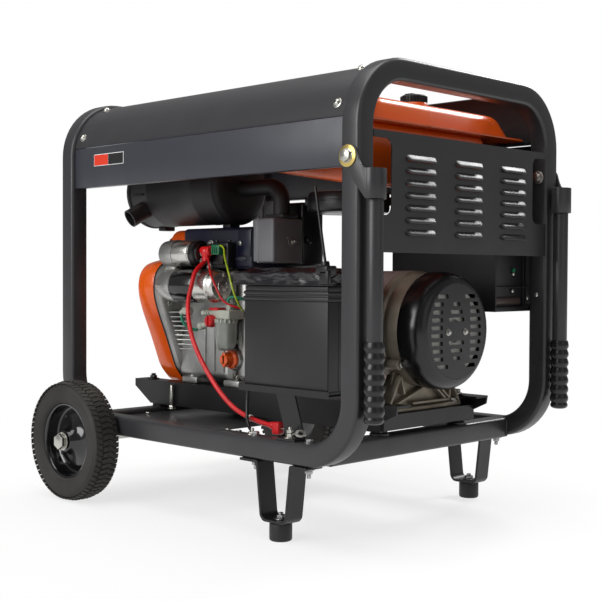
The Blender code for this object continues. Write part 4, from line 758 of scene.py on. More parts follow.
# %% Tank cap
build = bmesh.new()
turned(build, [(0.0, 0.0212), (0.015, 0.0212), (0.0178, 0.0206), (0.02, 0.0185), (0.02, 0.009),
               (0.016, 0.0085), (0.0155, 0.0)], FILLER - Vector((0, 0, 0.0012)), (0, 0, 1), 56)
for i in range(28):
    x, y = polar(0.02, i * 360 / 28)
    rod(build, (FILLER.x + x, FILLER.y + y, 0.657), (0, 0, 1), 0.0013, 0.0095, 6)
block(build, (0.25, 0.264), (-0.026, 0.002), (0.6688, 0.6705), 0.0006, 2)
piece("tank_cap", build, plastic, body="fuel_cap", stands_for=("fuel_cap",))
# %% [markdown]
# ## Wheels
# Each wheel is a semi-solid rubber tyre moulded over a pressed steel rim. The rim is a deep gloss
# black dish with a cone that reaches out to the hub. The tread has four rings of small blocks that
# lean against each other. Grooves could be cut into a ring, but one slice of four blocks, spun round
# in copies, keeps each block's edge round.

# %% Tyres
BLOCKS, WHEEL_BACK = 64, 0.2535
for side, suffix in SIDES:
    build = bmesh.new()
    base = Vector((WHEEL.x, side * WHEEL_BACK, WHEEL.z))
    body_profile = [
        (0.0643, 0.0063), (0.0655, 0.004), (0.069, 0.0018), (0.074, 0.0008), (0.079, 0.0006),
        (0.085, 0.0004), (0.0885, 0.0009), (0.0892, 0.0004), (0.0902, 0.0012), (0.0945, 0.0026),
        (0.097, 0.005), (0.0982, 0.009), (0.0986, 0.015), (0.0987, 0.0235),
    ]
    body_profile += [(radius, 0.047 - height) for radius, height in reversed(body_profile[:-1])]
    turned(build, body_profile, base, (0, side, 0), 96)
    # one slice of blocks, standing at the top of the tyre
    block_verts = []
    for centre, width, lean, crown in ((0.0068, 0.0094, 0.25, 0.0014), (0.018, 0.0096, -0.28, 0.0001),
                                       (0.029, 0.0096, 0.28, 0.0001), (0.0402, 0.0094, -0.25, 0.0014)):
        shift = 0.5 if 0.015 < centre < 0.032 else 0.0
        angle = math.tau / BLOCKS * shift
        made = bmesh.ops.create_cube(build, size=1.0)
        for vertex in made["verts"]:
            along_tyre = vertex.co.x * 0.0069 + vertex.co.y * width * lean
            across_tyre = centre + vertex.co.y * width
            radius = 0.1022 - crown if vertex.co.z > 0 else 0.0972
            if vertex.co.z > 0 and crown > 0.001 and (vertex.co.y < 0) == (centre < 0.02):
                radius -= 0.0017
            turn = angle + along_tyre / 0.103
            vertex.co = Vector((base.x + radius * math.sin(turn), base.y + side * across_tyre,
                                base.z + radius * math.cos(turn)))
        tops = [edge for vertex in made["verts"] for edge in vertex.link_edges
                if all((end.co - base).xz.length > 0.099 for end in edge.verts)]
        round_off(build, tops, 0.0009, 2)
        block_verts += made["verts"]
    slice_verts = joined_to(block_verts)
    slice_faces = list(dict.fromkeys(face for vertex in slice_verts for face in vertex.link_faces))
    slice_edges = list(dict.fromkeys(edge for face in slice_faces for edge in face.edges))
    bmesh.ops.spin(build, geom=slice_verts + slice_edges + slice_faces, cent=base, axis=(0, 1, 0),
                   dvec=(0, 0, 0), angle=math.tau * (BLOCKS - 1) / BLOCKS, steps=BLOCKS - 1,
                   use_merge=False, use_duplicate=True)
    piece(f"treaded_tyre_{suffix}", build, tyre_rubber, body=f"wheel_{suffix}",
          stands_for=(f"tyre_{suffix}",), sharp=40)

# %% Rims
for side, suffix in SIDES:
    build = bmesh.new()
    base = Vector((WHEEL.x, side * WHEEL_BACK, WHEEL.z))
    turned(build, [
        (0.0084, 0.0434), (0.015, 0.0437), (0.0178, 0.0428), (0.0192, 0.04), (0.021, 0.036),
        (0.0245, 0.031), (0.03, 0.0262), (0.037, 0.0232), (0.043, 0.0218), (0.0465, 0.0212),
        (0.05, 0.0185), (0.0545, 0.0175), (0.0572, 0.0192), (0.0585, 0.0235), (0.0592, 0.032),
        (0.0598, 0.0382), (0.0612, 0.0402), (0.0634, 0.0408), (0.064, 0.0402), (0.064, 0.0068),
        (0.0628, 0.0064), (0.0605, 0.0072), (0.0592, 0.01), (0.058, 0.015), (0.054, 0.016),
        (0.04, 0.016), (0.022, 0.012), (0.017, 0.003), (0.0084, 0.003),
    ], base, (0, side, 0), 96)
    # the weld studs that hold the two pressings together
    for turn in range(35, 360, 90):
        x, z = polar(0.0478, turn)
        rod(build, base + Vector((x, side * 0.0195, z)), (0, side, 0), 0.003, 0.0022, 16, bevel=0.0006)
    # the valve stands in the dish and leans inwards
    x, z = polar(1.0, 28)
    rod(build, base + Vector((0.0545 * x, side * 0.0165, 0.0545 * z)), (-x, side * 1.2, -z), 0.0024, 0.013,
        14, bevel=0.0005)
    piece(f"dished_rim_{suffix}", build, gloss_black, body=f"wheel_{suffix}",
          stands_for=(f"rim_{suffix}",), sharp=35)

# %% [markdown]
# ## Axle
# A plated bar passes through both wheels under the rails, held by two welded lugs, with a washer and
# a nut on each end. A true helix would cost many faces, so five thin rings stand for the thread.

# %% Axle with its nuts
build = bmesh.new()
AXLE_END = 0.3067
rod(build, (WHEEL.x, -AXLE_END - 0.0033, WHEEL.z), (0, 1, 0), 0.0079, 2 * (AXLE_END + 0.0033), 48,
    bevel=0.001)
for side in (-1, 1):
    place = Vector((WHEEL.x, side * (AXLE_END - 0.0085 + 0.0003), WHEEL.z))
    turned(build, [(0.0081, 0.0), (0.015, 0.0), (0.0154, 0.0004), (0.0154, 0.0022), (0.015, 0.0026),
                   (0.0081, 0.0026)], place, (0, side, 0), 56)
    rod(build, place + Vector((0, side * 0.0026, 0)), (0, side, 0), 0.0136, 0.0086, 6, bevel=0.0013)
    # thread crests on the axle end
    for i in range(5):
        rod(build, (WHEEL.x, side * (AXLE_END + 0.0002 + i * 0.0006), WHEEL.z), (0, side, 0), 0.0083,
            0.0003, 40)
piece("axle_and_nuts", build, zinc, stands_for=("axle",))
build = bmesh.new()
for side in (-1, 1):
    outline_sheet(build, rounded_outline([
        (WHEEL.x - 0.016, 0.104), (WHEEL.x - 0.01, 0.09), (WHEEL.x + 0.01, 0.09),
        (WHEEL.x + 0.024, 0.104), (WHEEL.x + 0.03, 0.1157), (WHEEL.x - 0.012, 0.1157)], 0.004, 5),
        "Y", side * RAIL_Y - 0.012, side * RAIL_Y + 0.012, 0.0012, 2)
    for x in (WHEEL.x - 0.012, WHEEL.x + 0.028):
        weld_bead(build, (x, side * RAIL_Y - 0.01, 0.115), (x, side * RAIL_Y + 0.01, 0.115), 0.0018)
piece("axle_lugs", build, charcoal)

# %% [markdown]
# ## Lift handles
# A pressed bracket swings on a bolt through the post and is wrapped round a straight tube. One folded
# sheet would be hard to keep even, so the plate and its wrap are outlines pushed to their thickness,
# and the rubber grip is turned in one go with its ribs.

# %% Brackets and tubes
grip_rubber = grained("polished_grip_rubber", "#131314", "#0d0d0e", 0.3, 1.0, 0.015)
GRIP_LOW = {"near": 0.1875, "far": 0.1715}
HANDLE_X, HANDLE_Y = 0.3695, 0.2335
for side, suffix in SIDES:
    build = bmesh.new()
    hub = (PIVOT.x, PIVOT.z)
    plate = arc_points(hub, 0.0164, 225, 28, 22) + [
        (0.3535, 0.5515), (0.3562, 0.5435), (0.36, 0.5378), (0.3652, 0.5345), (0.37, 0.5338),
        (0.37, 0.4926), (0.3672, 0.4928), (0.356, 0.506)]
    outline_sheet(build, plate, "Y", side * 0.2494, side * 0.2522, 0.0006, 2)
    # the wrap: out past the post, round the tube and back
    mid = [(0.3694, side * 0.2508)]
    for degrees in range(-90, 91, 9):
        out, along = polar(1.0, degrees)
        mid.append((0.37 + 0.0134 * out, side * (0.2345 - 0.0163 * along)))
    mid.append((0.362, side * 0.2182))
    outer, inner = [], []
    for i, place in enumerate(mid):
        before, after = Vector(mid[max(i - 1, 0)]), Vector(mid[min(i + 1, len(mid) - 1)])
        heading = (after - before).normalized()
        normal = Vector((heading.y, -heading.x)) * side * -1
        outer.append(Vector(place) + normal * 0.0013)
        inner.append(Vector(place) - normal * 0.0013)
    outline_sheet(build, [tuple(p) for p in outer + inner[::-1]], "Z", 0.4926, 0.5338, 0.0004, 2)
    for z in (0.4926, 0.5338):
        weld_bead(build, (0.362, side * 0.22, z), (0.369, side * 0.219, z), 0.0014, 0.0016)
    piece(f"handle_bracket_{suffix}", build, charcoal, body=f"handle_{suffix}",
          stands_for=(f"handle_{suffix}",), sharp=40)
    build = bmesh.new()
    low = GRIP_LOW[suffix]
    rod(build, (HANDLE_X, side * HANDLE_Y, low + 0.0075), (0, 0, 1), 0.0119, 0.533 - low - 0.0075, 56,
        bevel=0.0008)
    piece(f"handle_tube_{suffix}", build, charcoal, body=f"handle_{suffix}")
    build = bmesh.new()
    profile = [(0.0, 0.0), (0.008, 0.0), (0.0112, 0.001), (0.0134, 0.003), (0.0144, 0.006)]
    pitch = 0.0145
    for i in range(7):
        foot_z = 0.009 + i * pitch
        profile += [(0.0131, foot_z), (0.0128, foot_z + 0.0014), (0.0132, foot_z + 0.003),
                    (0.0146, foot_z + 0.005), (0.015, foot_z + 0.0078), (0.0145, foot_z + 0.0108)]
    profile += [(0.0138, 0.1102), (0.0134, 0.1116), (0.0121, 0.112)]
    turned(build, profile, (HANDLE_X, side * HANDLE_Y, low), (0, 0, 1), 56)
    piece(f"ribbed_grip_{suffix}", build, grip_rubber, body=f"handle_{suffix}",
          stands_for=(f"grip_{suffix}",), sharp=50)
    # the pivot bolt over its wide washer
    build = bmesh.new()
    turned(build, [(0.0, 0.002), (0.0142, 0.002), (0.0153, 0.0014), (0.0154, 0.0)],
           (PIVOT.x, side * 0.2526, PIVOT.z), (0, side, 0), 56)
    piece(f"pivot_washer_{suffix}", build, yellow_zinc)
    build = bmesh.new()
    rod(build, (PIVOT.x, side * 0.25, PIVOT.z), (0, side, 0), 0.0049, 0.004, 24)
    rod(build, (PIVOT.x, side * 0.2546, PIVOT.z), (0, side, 0), 0.01, 0.0012, 40, bevel=0.0003)
    rod(build, (PIVOT.x, side * 0.2557, PIVOT.z), (0, side, 0), 0.0094, 0.0048, 6, bevel=0.001)
    rod(build, (PIVOT.x, side * 0.26, PIVOT.z), (0, side, 0), 0.0048, 0.001, 28, bevel=0.0004)
    piece(f"pivot_bolt_head_{suffix}", build, zinc, stands_for=(f"pivot_bolt_{suffix}",))

# %% [markdown]
# ## Feet
# A black strap is bent to a V under each rail and bolted through it, and a rubber foot screws up into
# its lowest web. Bending a flat bar would take several turns, so the strap is one side view with its
# bends rounded, pushed to its width.

# %% Foot straps and rubbers
FOOT_AT = 0.19
for side, suffix in SIDES:
    y = side * RAIL_Y
    build = bmesh.new()
    strap = [(-0.072, 0.1157), (-0.072, 0.1117), (-0.037, 0.1117), (-0.028, 0.034), (-0.021, 0.027),
             (0.021, 0.027), (0.028, 0.034), (0.037, 0.1117), (0.068, 0.1117), (0.068, 0.1157),
             (0.033, 0.1157), (0.024, 0.036), (0.019, 0.031), (-0.019, 0.031), (-0.024, 0.036),
             (-0.033, 0.1157)]
    outline_sheet(build, rounded_outline([(FOOT_AT + x, z) for x, z in strap], 0.0038, 5), "Y",
                  y - 0.017, y + 0.017, 0.0005, 1)
    piece(f"foot_strap_{suffix}", build, satin_black, stands_for=(f"foot_bracket_{suffix}",), sharp=40)
    build = bmesh.new()
    turned(build, [(0.0, 0.0265), (0.015, 0.0265), (0.0166, 0.0255), (0.017, 0.0235), (0.017, 0.004),
                   (0.0166, 0.0015), (0.015, 0.0), (0.006, 0.0), (0.005, 0.002), (0.0, 0.002)],
           (FOOT_AT, y, 0.0), (0, 0, 1), 56)
    piece(f"foot_pad_{suffix}", build, rubber, stands_for=(f"foot_rubber_{suffix}",))
    build = bmesh.new()
    for x in (0.057, -0.054):
        hex_bolt(build, (FOOT_AT + x, y, 0.1115), (0, 0, -1), 0.0105, 0.0055, 0.0085, 0.0014)
        rod(build, (FOOT_AT + x, y, 0.105), (0, 0, -1), 0.003, 0.007, 20, bevel=0.0006)
        # the bolt's head on the rail's top
        if side < 0:
            hex_bolt(build, (FOOT_AT + x, y, RAIL_TOP + 0.0001), (0, 0, 1), 0.01, 0.0045, 0.0075, 0.0012)
    hex_bolt(build, (FOOT_AT, y, 0.0311), (0, 0, 1), 0.013, 0.005, 0.01, 0.0016)
    rod(build, (FOOT_AT, y, 0.037), (0, 0, 1), 0.0038, 0.004, 20, bevel=0.0008)
    piece(f"foot_bolts_{suffix}", build, steel)
# %% [markdown]
# ## Flywheel housing and fan shroud
# The flywheel side of the engine is closed by an orange pressed shroud bolted over a die-cast flange.
# One outline serves both: a round fan case, a lobe over the starter pinion and a duct up to the
# cylinder. The shroud's domed edge is a stack of shrinking loops bridged one to the next.

# %% Housing outline and lofted shapes
def grown(outline, distance):
    """A closed outline with every side moved outwards."""
    count = len(outline)
    turning = sum(outline[i - 1][0] * outline[i][1] - outline[i][0] * outline[i - 1][1]
                  for i in range(count))
    sign = 1 if turning > 0 else -1
    moved = []
    for i in range(count):
        before, here, after = outline[i - 1], outline[i], outline[(i + 1) % count]
        first = Vector((here[1] - before[1], before[0] - here[0])).normalized() * sign
        second = Vector((after[1] - here[1], here[0] - after[0])).normalized() * sign
        middle = (first + second) / (1 + first.dot(second))
        moved.append((here[0] + middle.x * distance, here[1] + middle.y * distance))
    return moved


def lofted(build, loops):
    """Closed loops of points bridged one after another, with both ends filled."""
    made = [closed_loop(build, points) for points in loops]
    for first, second in zip(made, made[1:]):
        bmesh.ops.bridge_loops(build, edges=first + second)
    for loop in (made[0], made[-1]):
        bmesh.ops.contextual_create(build, geom=loop)


HOUSING = [
    (-0.05, 0.179), (-0.08, 0.1965), (-0.103, 0.222), (-0.118, 0.262), (-0.13, 0.292),
    (-0.143, 0.322), (-0.152, 0.35), (-0.1535, 0.372), (-0.149, 0.392), (-0.137, 0.406),
    (-0.12, 0.412), (-0.1, 0.416), (-0.068, 0.47), (0.085, 0.47),
] + arc_points((0.0, CRANK_Z - 0.0025), 0.133, 25, -100, 9)
SHROUD_BACK, SHROUD_FRONT = -0.2103, -0.2608


def housing_loop(x, grow):
    """The housing's outline at a station along the crankshaft, its corners rounded."""
    return [(x, y, z) for y, z in rounded_outline(grown(HOUSING, grow), max(0.004, 0.014 + grow), 4)]


print("housing outline", len(HOUSING), "corners")


# %% Shroud
build = bmesh.new()
DOME = 0.009
loops = [housing_loop(SHROUD_BACK, -0.0006), housing_loop(SHROUD_BACK - 0.0008, 0.0)]
loops += [housing_loop(SHROUD_FRONT + DOME * (1 - math.sin(math.radians(a))),
                       -DOME * (1 - math.cos(math.radians(a)))) for a in range(0, 91, 10)]
lofted(build, loops)
# the round grille over the fan is pressed up
turned(build, [(0.0, 0.0012), (0.069, 0.0012), (0.0725, 0.0005), (0.0735, -0.002)],
       (SHROUD_FRONT, 0, CRANK_Z), (-1, 0, 0), 72)
piece("domed_fan_shroud", build, orange, stands_for=("fan_shroud",), sharp=50)
# the grille's slots are not cut: thin black strips laid on the pressed face are painted shade for the dark
# openings
build = bmesh.new()
for height, half in ((-0.048, 0.035), (-0.032, 0.05), (-0.016, 0.058), (0.0, 0.06), (0.016, 0.058),
                     (0.032, 0.05), (0.048, 0.035)):
    z = CRANK_Z + height
    outline_sheet(build, rounded_rectangle((-half, half), (z - 0.0035, z + 0.0035), 0.0034, 4), "X",
                  SHROUD_FRONT - 0.0008, SHROUD_FRONT - 0.0014)
piece("grille_slot_shade", build, satin_black)
build = bmesh.new()
for y, z in ((-0.147, 0.372), (-0.112, 0.262), (0.0, 0.176), (0.113, 0.24), (0.127, 0.345),
             (0.092, 0.455), (-0.08, 0.455)):
    place = (SHROUD_BACK - 0.0425, y * 0.955, CRANK_Z + (z - CRANK_Z) * 0.955)
    hex_bolt(build, place, (-1, 0, 0), 0.0082, 0.0042, 0.0072, 0.0014)
piece("shroud_bolts", build, zinc)

# %% [markdown]
# ## Crankcase
# The crankcase is pressure die-cast aluminium: a flange that follows the shroud, a boxy body, a
# bolted side cover at the alternator end, thin stiffening ribs and four feet. A black paper gasket
# shows between the flange and the shroud. Sculpting would lose its flat machined faces, so rounded
# blocks overlap, as the parts of a foundry pattern do, and ribs and bosses are added to them.

# %% Crankcase
START = Vector((-0.208, -0.1345, 0.37))
CAN = Vector((-0.1955, -0.13, 0.425))
build = bmesh.new()
lofted(build, [housing_loop(-0.2096, -0.0012), housing_loop(-0.2092, 0.0), housing_loop(-0.1975, 0.0),
               housing_loop(-0.1966, -0.0012), housing_loop(-0.193, -0.0075)])
block(build, (-0.204, -0.0665), (-0.1035, 0.1035), (0.2075, 0.3975), 0.013, 5)
block(build, (-0.066, -0.0565), (-0.1065, 0.1065), (0.2045, 0.4), 0.011, 4)
block(build, (-0.056, -0.0272), (-0.101, 0.101), (0.2085, 0.3935), 0.012, 5)
for x in ((-0.19, -0.15), (-0.08, -0.04)):
    for side in (-1, 1):
        block(build, x, sorted((side * 0.106, side * 0.074)), (0.1975, 0.209), 0.0022, 2)
        hex_bolt(build, ((x[0] + x[1]) / 2, side * 0.0955, 0.209), (0, 0, 1), 0.01, 0.0058, 0.0088, 0.0014)
# stiffening ribs: short level ones by the flange, upright ones along the body
for i in range(9):
    z = 0.256 + i * 0.0082
    reach = 0.112 + (z - 0.262) * 0.42
    outline_sheet(build, [(-0.1972, -reach), (-0.162, -0.103), (-0.1972, -0.103)], "Z", z, z + 0.0022,
                  0.0005)
for x in (-0.128, -0.104, -0.08):
    block(build, (x - 0.0012, x + 0.0012), (-0.1062, -0.1025), (0.222, 0.304), 0.0007, 2)
for i in range(4):
    block(build, (-0.19, -0.07), (0.1025, 0.1066), (0.24 + i * 0.034, 0.2424 + i * 0.034), 0.0007, 2)
# bosses: oil filler, starter nose and starter bracket
turned(build, [(0.0, 0.004), (0.017, 0.004), (0.0182, 0.003), (0.0196, 0.0), (0.02, -0.003)],
       (-0.055, -0.1035, 0.246), (0, -1, 0), 40)
turned(build, [(0.0, 0.05), (0.0278, 0.05), (0.0296, 0.049), (0.0298, 0.042), (0.029, 0.033),
               (0.0262, 0.02), (0.0225, 0.008), (0.0195, 0.001), (0.0, 0.0)], START, (1, 0, 0), 56)
for turn in (20, 100, 180, 260, 340):
    y, z = polar(0.0235, turn)
    rod(build, START + Vector((0.011, y, z)), (0.0235, 0.1 * y, 0.1 * z), 0.003, 0.036, 12, bevel=0.001)
turned(build, [(0.0, 0.033), (0.0236, 0.033), (0.0244, 0.0322), (0.0246, 0.026), (0.024, 0.01),
               (0.0225, 0.0), (0.0, 0.0)], CAN - Vector((0.003, 0, 0)), (1, 0, 0), 48)
block(build, (-0.196, -0.17), (-0.14, -0.098), (0.385, 0.432), 0.006, 3)
piece("crankcase_casting", build, die_cast, stands_for=("crankcase",), sharp=38)
build = bmesh.new()
for y, z in ((-0.098, 0.214), (-0.098, 0.276), (-0.098, 0.336), (-0.098, 0.391), (-0.035, 0.393),
             (0.035, 0.393), (0.098, 0.391), (0.098, 0.336), (0.098, 0.276), (0.098, 0.214)):
    hex_bolt(build, (-0.0565, y, z), (1, 0, 0), 0.009, 0.0062, 0.008, 0.001)
for y, z in ((-0.143, 0.339), (-0.1215, 0.283), (-0.0985, 0.224)):
    hex_bolt(build, (-0.1966, y + 0.011, z), (1, 0, 0), 0.0085, 0.0055, 0.0072, 0.001)
piece("crankcase_bolts", build, zinc)
build = bmesh.new()
lofted(build, [housing_loop(-0.2112, 0.0011), housing_loop(-0.2093, 0.0011)])
piece("paper_gasket", build, satin_black)

# %% [markdown]
# ## Oil plug, fuel filter and hoses
# An orange filler plug screws into the crankcase over ribs made for fingers. Beside it a clear bowl
# hangs under a pale plastic head with barbed tails, a red tap and two short green hoses. Turned
# profiles suit all of them, and each hose is one curve, so that its length can be measured.

# %% Oil plug
build = bmesh.new()
place = Vector((-0.055, -0.1043, 0.246))
turned(build, [(0.0, 0.0), (0.0128, 0.0), (0.015, 0.0006), (0.0155, 0.002), (0.0155, 0.0072),
               (0.0148, 0.0086), (0.0105, 0.0096), (0.0098, 0.011), (0.0098, 0.0215), (0.009, 0.0235),
               (0.007, 0.024), (0.0, 0.024)], place, (0, -1, 0), 40)
for i in range(12):
    turn = Matrix.Translation(place) @ Matrix.Rotation(math.tau * i / 12, 4, "Y") @ Matrix.Translation(
        (0.0152, -0.0046, 0))
    bmesh.ops.create_cone(build, cap_ends=True, segments=10, radius1=0.0014, radius2=0.0014, depth=0.0062,
                          matrix=turn @ Matrix.Rotation(math.radians(90), 4, "X"))
block(build, (-0.0585, -0.0515), (-0.1283, -0.113), (0.2335, 0.2585), 0.0016, 2)
piece("ribbed_oil_plug", build, orange, body="oil_plug", stands_for=("oil_plug",), sharp=35)

# %% Fuel filter and tap
FILTER = Vector((-0.05, -0.1265, 0.262))
clear = grained("smoky_clear_polycarbonate", "#b8bcb6", "#a2a8a0", 0.12, 3.0, 0.01, Transmission_Weight=0.45,
                IOR=1.58)
build = bmesh.new()
turned(build, [(0.0, 0.0), (0.008, 0.0), (0.012, 0.0012), (0.015, 0.005), (0.0176, 0.013), (0.0186, 0.03),
               (0.019, 0.048), (0.019, 0.052), (0.0, 0.052)], FILTER, (0, 0, 1), 40)
piece("filter_bowl", build, clear, stands_for=("fuel_filter",), sharp=40)
build = bmesh.new()
block(build, (-0.072, -0.028), (-0.14, -0.1044), (0.3145, 0.33), 0.0024, 3)
for i in range(16):
    x, y = polar(0.0184, i * 22.5)
    rod(build, FILTER + Vector((x, y, 0.046)), (0, 0, 1), 0.002, 0.0072, 10, bevel=0.0006)
# the pale hose tails: a level one with its barbs, a lower one, and an elbow by the starter
rod(build, (-0.07, -0.134, 0.3245), (-1, 0, -0.02), 0.0046, 0.031, 20, bevel=0.001)
for i in range(3):
    rod(build, (-0.08 - 0.006 * i, -0.134, 0.3243), (-1, 0, 0), 0.0058, 0.0034, 20, tip=0.0046)
rod(build, (-0.07, -0.137, 0.3095), (-1, 0, -0.26), 0.005, 0.038, 20, bevel=0.001)
rod(build, (-0.096, -0.137, 0.3027), (-1, 0, -0.26), 0.0066, 0.009, 20, bevel=0.0012)
rod(build, (-0.035, -0.132, 0.33), (0, 0, 1), 0.0042, 0.012, 20, bevel=0.001)
rod(build, (-0.138, -0.13, 0.3253), (-1, 0, 0.06), 0.0072, 0.017, 24, bevel=0.0014)
rod(build, (-0.154, -0.13, 0.3263), (-1, 0, -0.5), 0.005, 0.01, 20, bevel=0.001)
piece("filter_head", build, filter_plastic, sharp=35)
build = bmesh.new()
turned(build, [(0.0, 0.011), (0.0078, 0.011), (0.0096, 0.0092), (0.0102, 0.005), (0.0108, 0.0), (0.0, 0.0)],
       (-0.07, -0.1395, 0.311), (0, -1, 0), 36)
block(build, (-0.0716, -0.0684), (-0.153, -0.149), (0.302, 0.32), 0.001, 2)
block(build, (-0.078, -0.056), (-0.141, -0.12), (0.329, 0.3335), 0.0016, 2)
piece("fuel_tap", build, red_pvc, sharp=35)

# %% Fuel hoses
hose_green = grained("green_rubber_hose", "#2c8f6c", "#237a5b", 0.45, 1.2, 0.02)
free_cord("vent_hose", [
    (-0.161, -0.129, 0.3225), (-0.164, -0.1285, 0.316), (-0.163, -0.127, 0.308),
    (-0.16, -0.122, 0.3), (-0.156, -0.112, 0.294), (-0.152, -0.104, 0.292),
], 0.005, hose_green)
free_cord("supply_hose", [
    (-0.038, -0.132, 0.342), (-0.036, -0.134, 0.348), (-0.03, -0.133, 0.352),
    (-0.022, -0.126, 0.351), (-0.018, -0.114, 0.348), (-0.02, -0.102, 0.347),
], 0.005, hose_green)

# %% [markdown]
# ## Starter motor and solenoid
# The starter is a black steel tube between a zinc-plated brush housing and the crankcase's nose. Its
# end is a pressed cap held by through bolts. The solenoid above it is a drawn, plated can with a
# black moulded terminal cap. Cylinders could be stacked, but one profile turned in one go keeps every
# groove and rolled edge in a single skin.

# %% Starter
build = bmesh.new()
turned(build, [(0.0, 0.0), (0.0138, 0.0), (0.0138, 0.05), (0.0282, 0.0504), (0.029, 0.0512), (0.029, 0.1055),
               (0.0284, 0.1065), (0.0, 0.1065)], START, (1, 0, 0), 64)
for turn in (55, 235):
    rod(build, START + Vector((0.052, *polar(0.029, turn))), (1, 0, 0), 0.0019, 0.053, 12)
piece("starter_body", build, gloss_black, stands_for=("starter_motor",))
build = bmesh.new()
turned(build, [(0.0, 0.1067), (0.0278, 0.1067), (0.0286, 0.1073), (0.0286, 0.109), (0.0275, 0.1098),
               (0.0275, 0.138), (0.0284, 0.1386), (0.0284, 0.1408), (0.0277, 0.1418), (0.0272, 0.147),
               (0.0258, 0.1525), (0.0225, 0.1562), (0.015, 0.1576), (0.0105, 0.1576), (0.0098, 0.159),
               (0.008, 0.1598), (0.0, 0.16)], START, (1, 0, 0), 72)
block(build, (-0.106, -0.094), (-0.1235, -0.101), (0.392, 0.42), 0.003, 2)
piece("starter_brush_housing", build, drawn_zinc)
build = bmesh.new()
for turn in (80, 260, 170):
    place = START + Vector((0.1548, *polar(0.0192, turn)))
    rod(build, place, (1, 0, 0), 0.0036, 0.005, 6, bevel=0.0007)
    rod(build, place, (1, 0, 0), 0.0044, 0.0022, 20)
piece("starter_through_bolts", build, zinc)

# %% Solenoid with its cap, relay and connector
build = bmesh.new()
turned(build, [(0.0, 0.0305), (0.0228, 0.0305), (0.0234, 0.0312), (0.0234, 0.07), (0.023, 0.0708),
               (0.0234, 0.0718), (0.0234, 0.0742), (0.0228, 0.075), (0.0, 0.075)], CAN, (1, 0, 0), 64)
piece("solenoid_can", build, drawn_zinc, stands_for=("solenoid",))
build = bmesh.new()
turned(build, [(0.0, 0.0752), (0.0218, 0.0752), (0.0222, 0.076), (0.0222, 0.0856), (0.0205, 0.0872),
               (0.0182, 0.088), (0.0176, 0.092), (0.0, 0.092)], CAN, (1, 0, 0), 56)
rod(build, CAN + Vector((0.09, 0.004, 0.01)), (1, 0, 0), 0.005, 0.006, 20, bevel=0.001)
# relay block behind the boot
block(build, (-0.096, -0.056), (-0.118, -0.098), (0.398, 0.444), 0.003, 3)
block(build, (-0.09, -0.062), (-0.124, -0.1175), (0.406, 0.436), 0.002, 2)
for x in (-0.092, -0.06):
    rod(build, (x, -0.11, 0.444), (0, 0, 1), 0.003, 0.004, 14, bevel=0.0006)
piece("solenoid_cap_and_relay", build, plastic, sharp=35)
build = bmesh.new()
for dz in (-0.0125, 0.0):
    rod(build, CAN + Vector((0.092, -0.006, dz)), (1, 0, 0), 0.0028, 0.011, 16, bevel=0.0005)
    rod(build, CAN + Vector((0.093, -0.006, dz)), (1, 0, 0), 0.0052, 0.0032, 6, bevel=0.0006)
piece("solenoid_studs", build, zinc)
build = bmesh.new()
green = grained("green_nylon_connector", "#0f6a45", "#0c5a3a", 0.36, 1.5, 0.02)
block(build, (-0.08, -0.06), (-0.1345, -0.1235), (0.4225, 0.4395), 0.0014, 2)
for i in range(3):
    block(build, (-0.078 + i * 0.005, -0.0755 + i * 0.005), (-0.1362, -0.134), (0.425, 0.435), 0.0005, 2)
piece("green_connector", build, green, sharp=35)

# %% Terminal boot
build = bmesh.new()
elbow = Vector((-0.0926, -0.1332, 0.4278))
bmesh.ops.create_uvsphere(build, u_segments=32, v_segments=20, radius=0.0096,
                          matrix=Matrix.Translation(elbow))
rod(build, (-0.1034, -0.1325, 0.429), (1, 0, 0), 0.0084, 0.012, 32, bevel=0.0016)
turned(build, [(0.0, 0.0), (0.0088, 0.0), (0.009, 0.004), (0.0072, 0.007), (0.0066, 0.0105), (0.0072, 0.0112),
               (0.0072, 0.0128), (0.0062, 0.0134), (0.0062, 0.015), (0.0, 0.015)],
       elbow + Vector((0, 0, -0.0005)), (0.002, -0.1, -1), 32)
rod(build, elbow + Vector((0.005, 0, 0.001)), (1, 0, 0.1), 0.0082, 0.007, 32, bevel=0.0022)
piece("terminal_elbow_boot", build, red_pvc, stands_for=("terminal_boot",), sharp=45)

# %% [markdown]
# ## Cylinder, head and exhaust
# A pressed duct leads the fan's air round the cylinder. The head ends in a cast rocker cover with one
# stud. The silencer is a rolled can with seamed ends, and a bent pipe brings the gas up to it. A
# short outlet points down and away from the person using the welder. The can is one turned profile,
# since its seams are steps in that profile, and the elbow is a ring pushed, bent and pushed again.

# %% Duct and rocker cover
blue_black = grained("blue_black_enamel", "#0c0f2a", "#07081a", 0.34, 2.5, 0.02, wander_mm=55)
grey_cast = grained("grey_painted_casting", "#77787b", "#6a6b6f", 0.42, 1.2, 0.05)
build = bmesh.new()
block(build, (-0.195, -0.016), (-0.0995, 0.0775), (0.3985, 0.47), 0.007, 4)
block(build, (-0.13, -0.03), (-0.1012, -0.0985), (0.412, 0.419), 0.0012, 2)
block(build, (-0.05, -0.018), (-0.101, -0.099), (0.42, 0.464), 0.0012, 2)
for z in (0.43, 0.452):
    block(build, (-0.178, -0.07), (0.0765, 0.0795), (z, z + 0.006), 0.0012, 2)
piece("cylinder_shroud", build, blue_black, stands_for=("cylinder_duct",), sharp=35)
build = bmesh.new()
for x in (-0.12, -0.042):
    hex_bolt(build, (x, -0.0995, 0.442), (0, -1, 0), 0.008, 0.0038, 0.007, 0.001)
hex_bolt(build, (0.0325, -0.056, 0.445), (1, 0, 0), 0.0095, 0.005, 0.008, 0.0012)
rod(build, (0.0355, -0.056, 0.445), (1, 0, 0), 0.0028, 0.0078, 18, bevel=0.0005)
rod(build, (0.0353, -0.068, 0.451), (1, 0, 0), 0.0021, 0.0014, 14)
piece("duct_bolts", build, zinc)
build = bmesh.new()
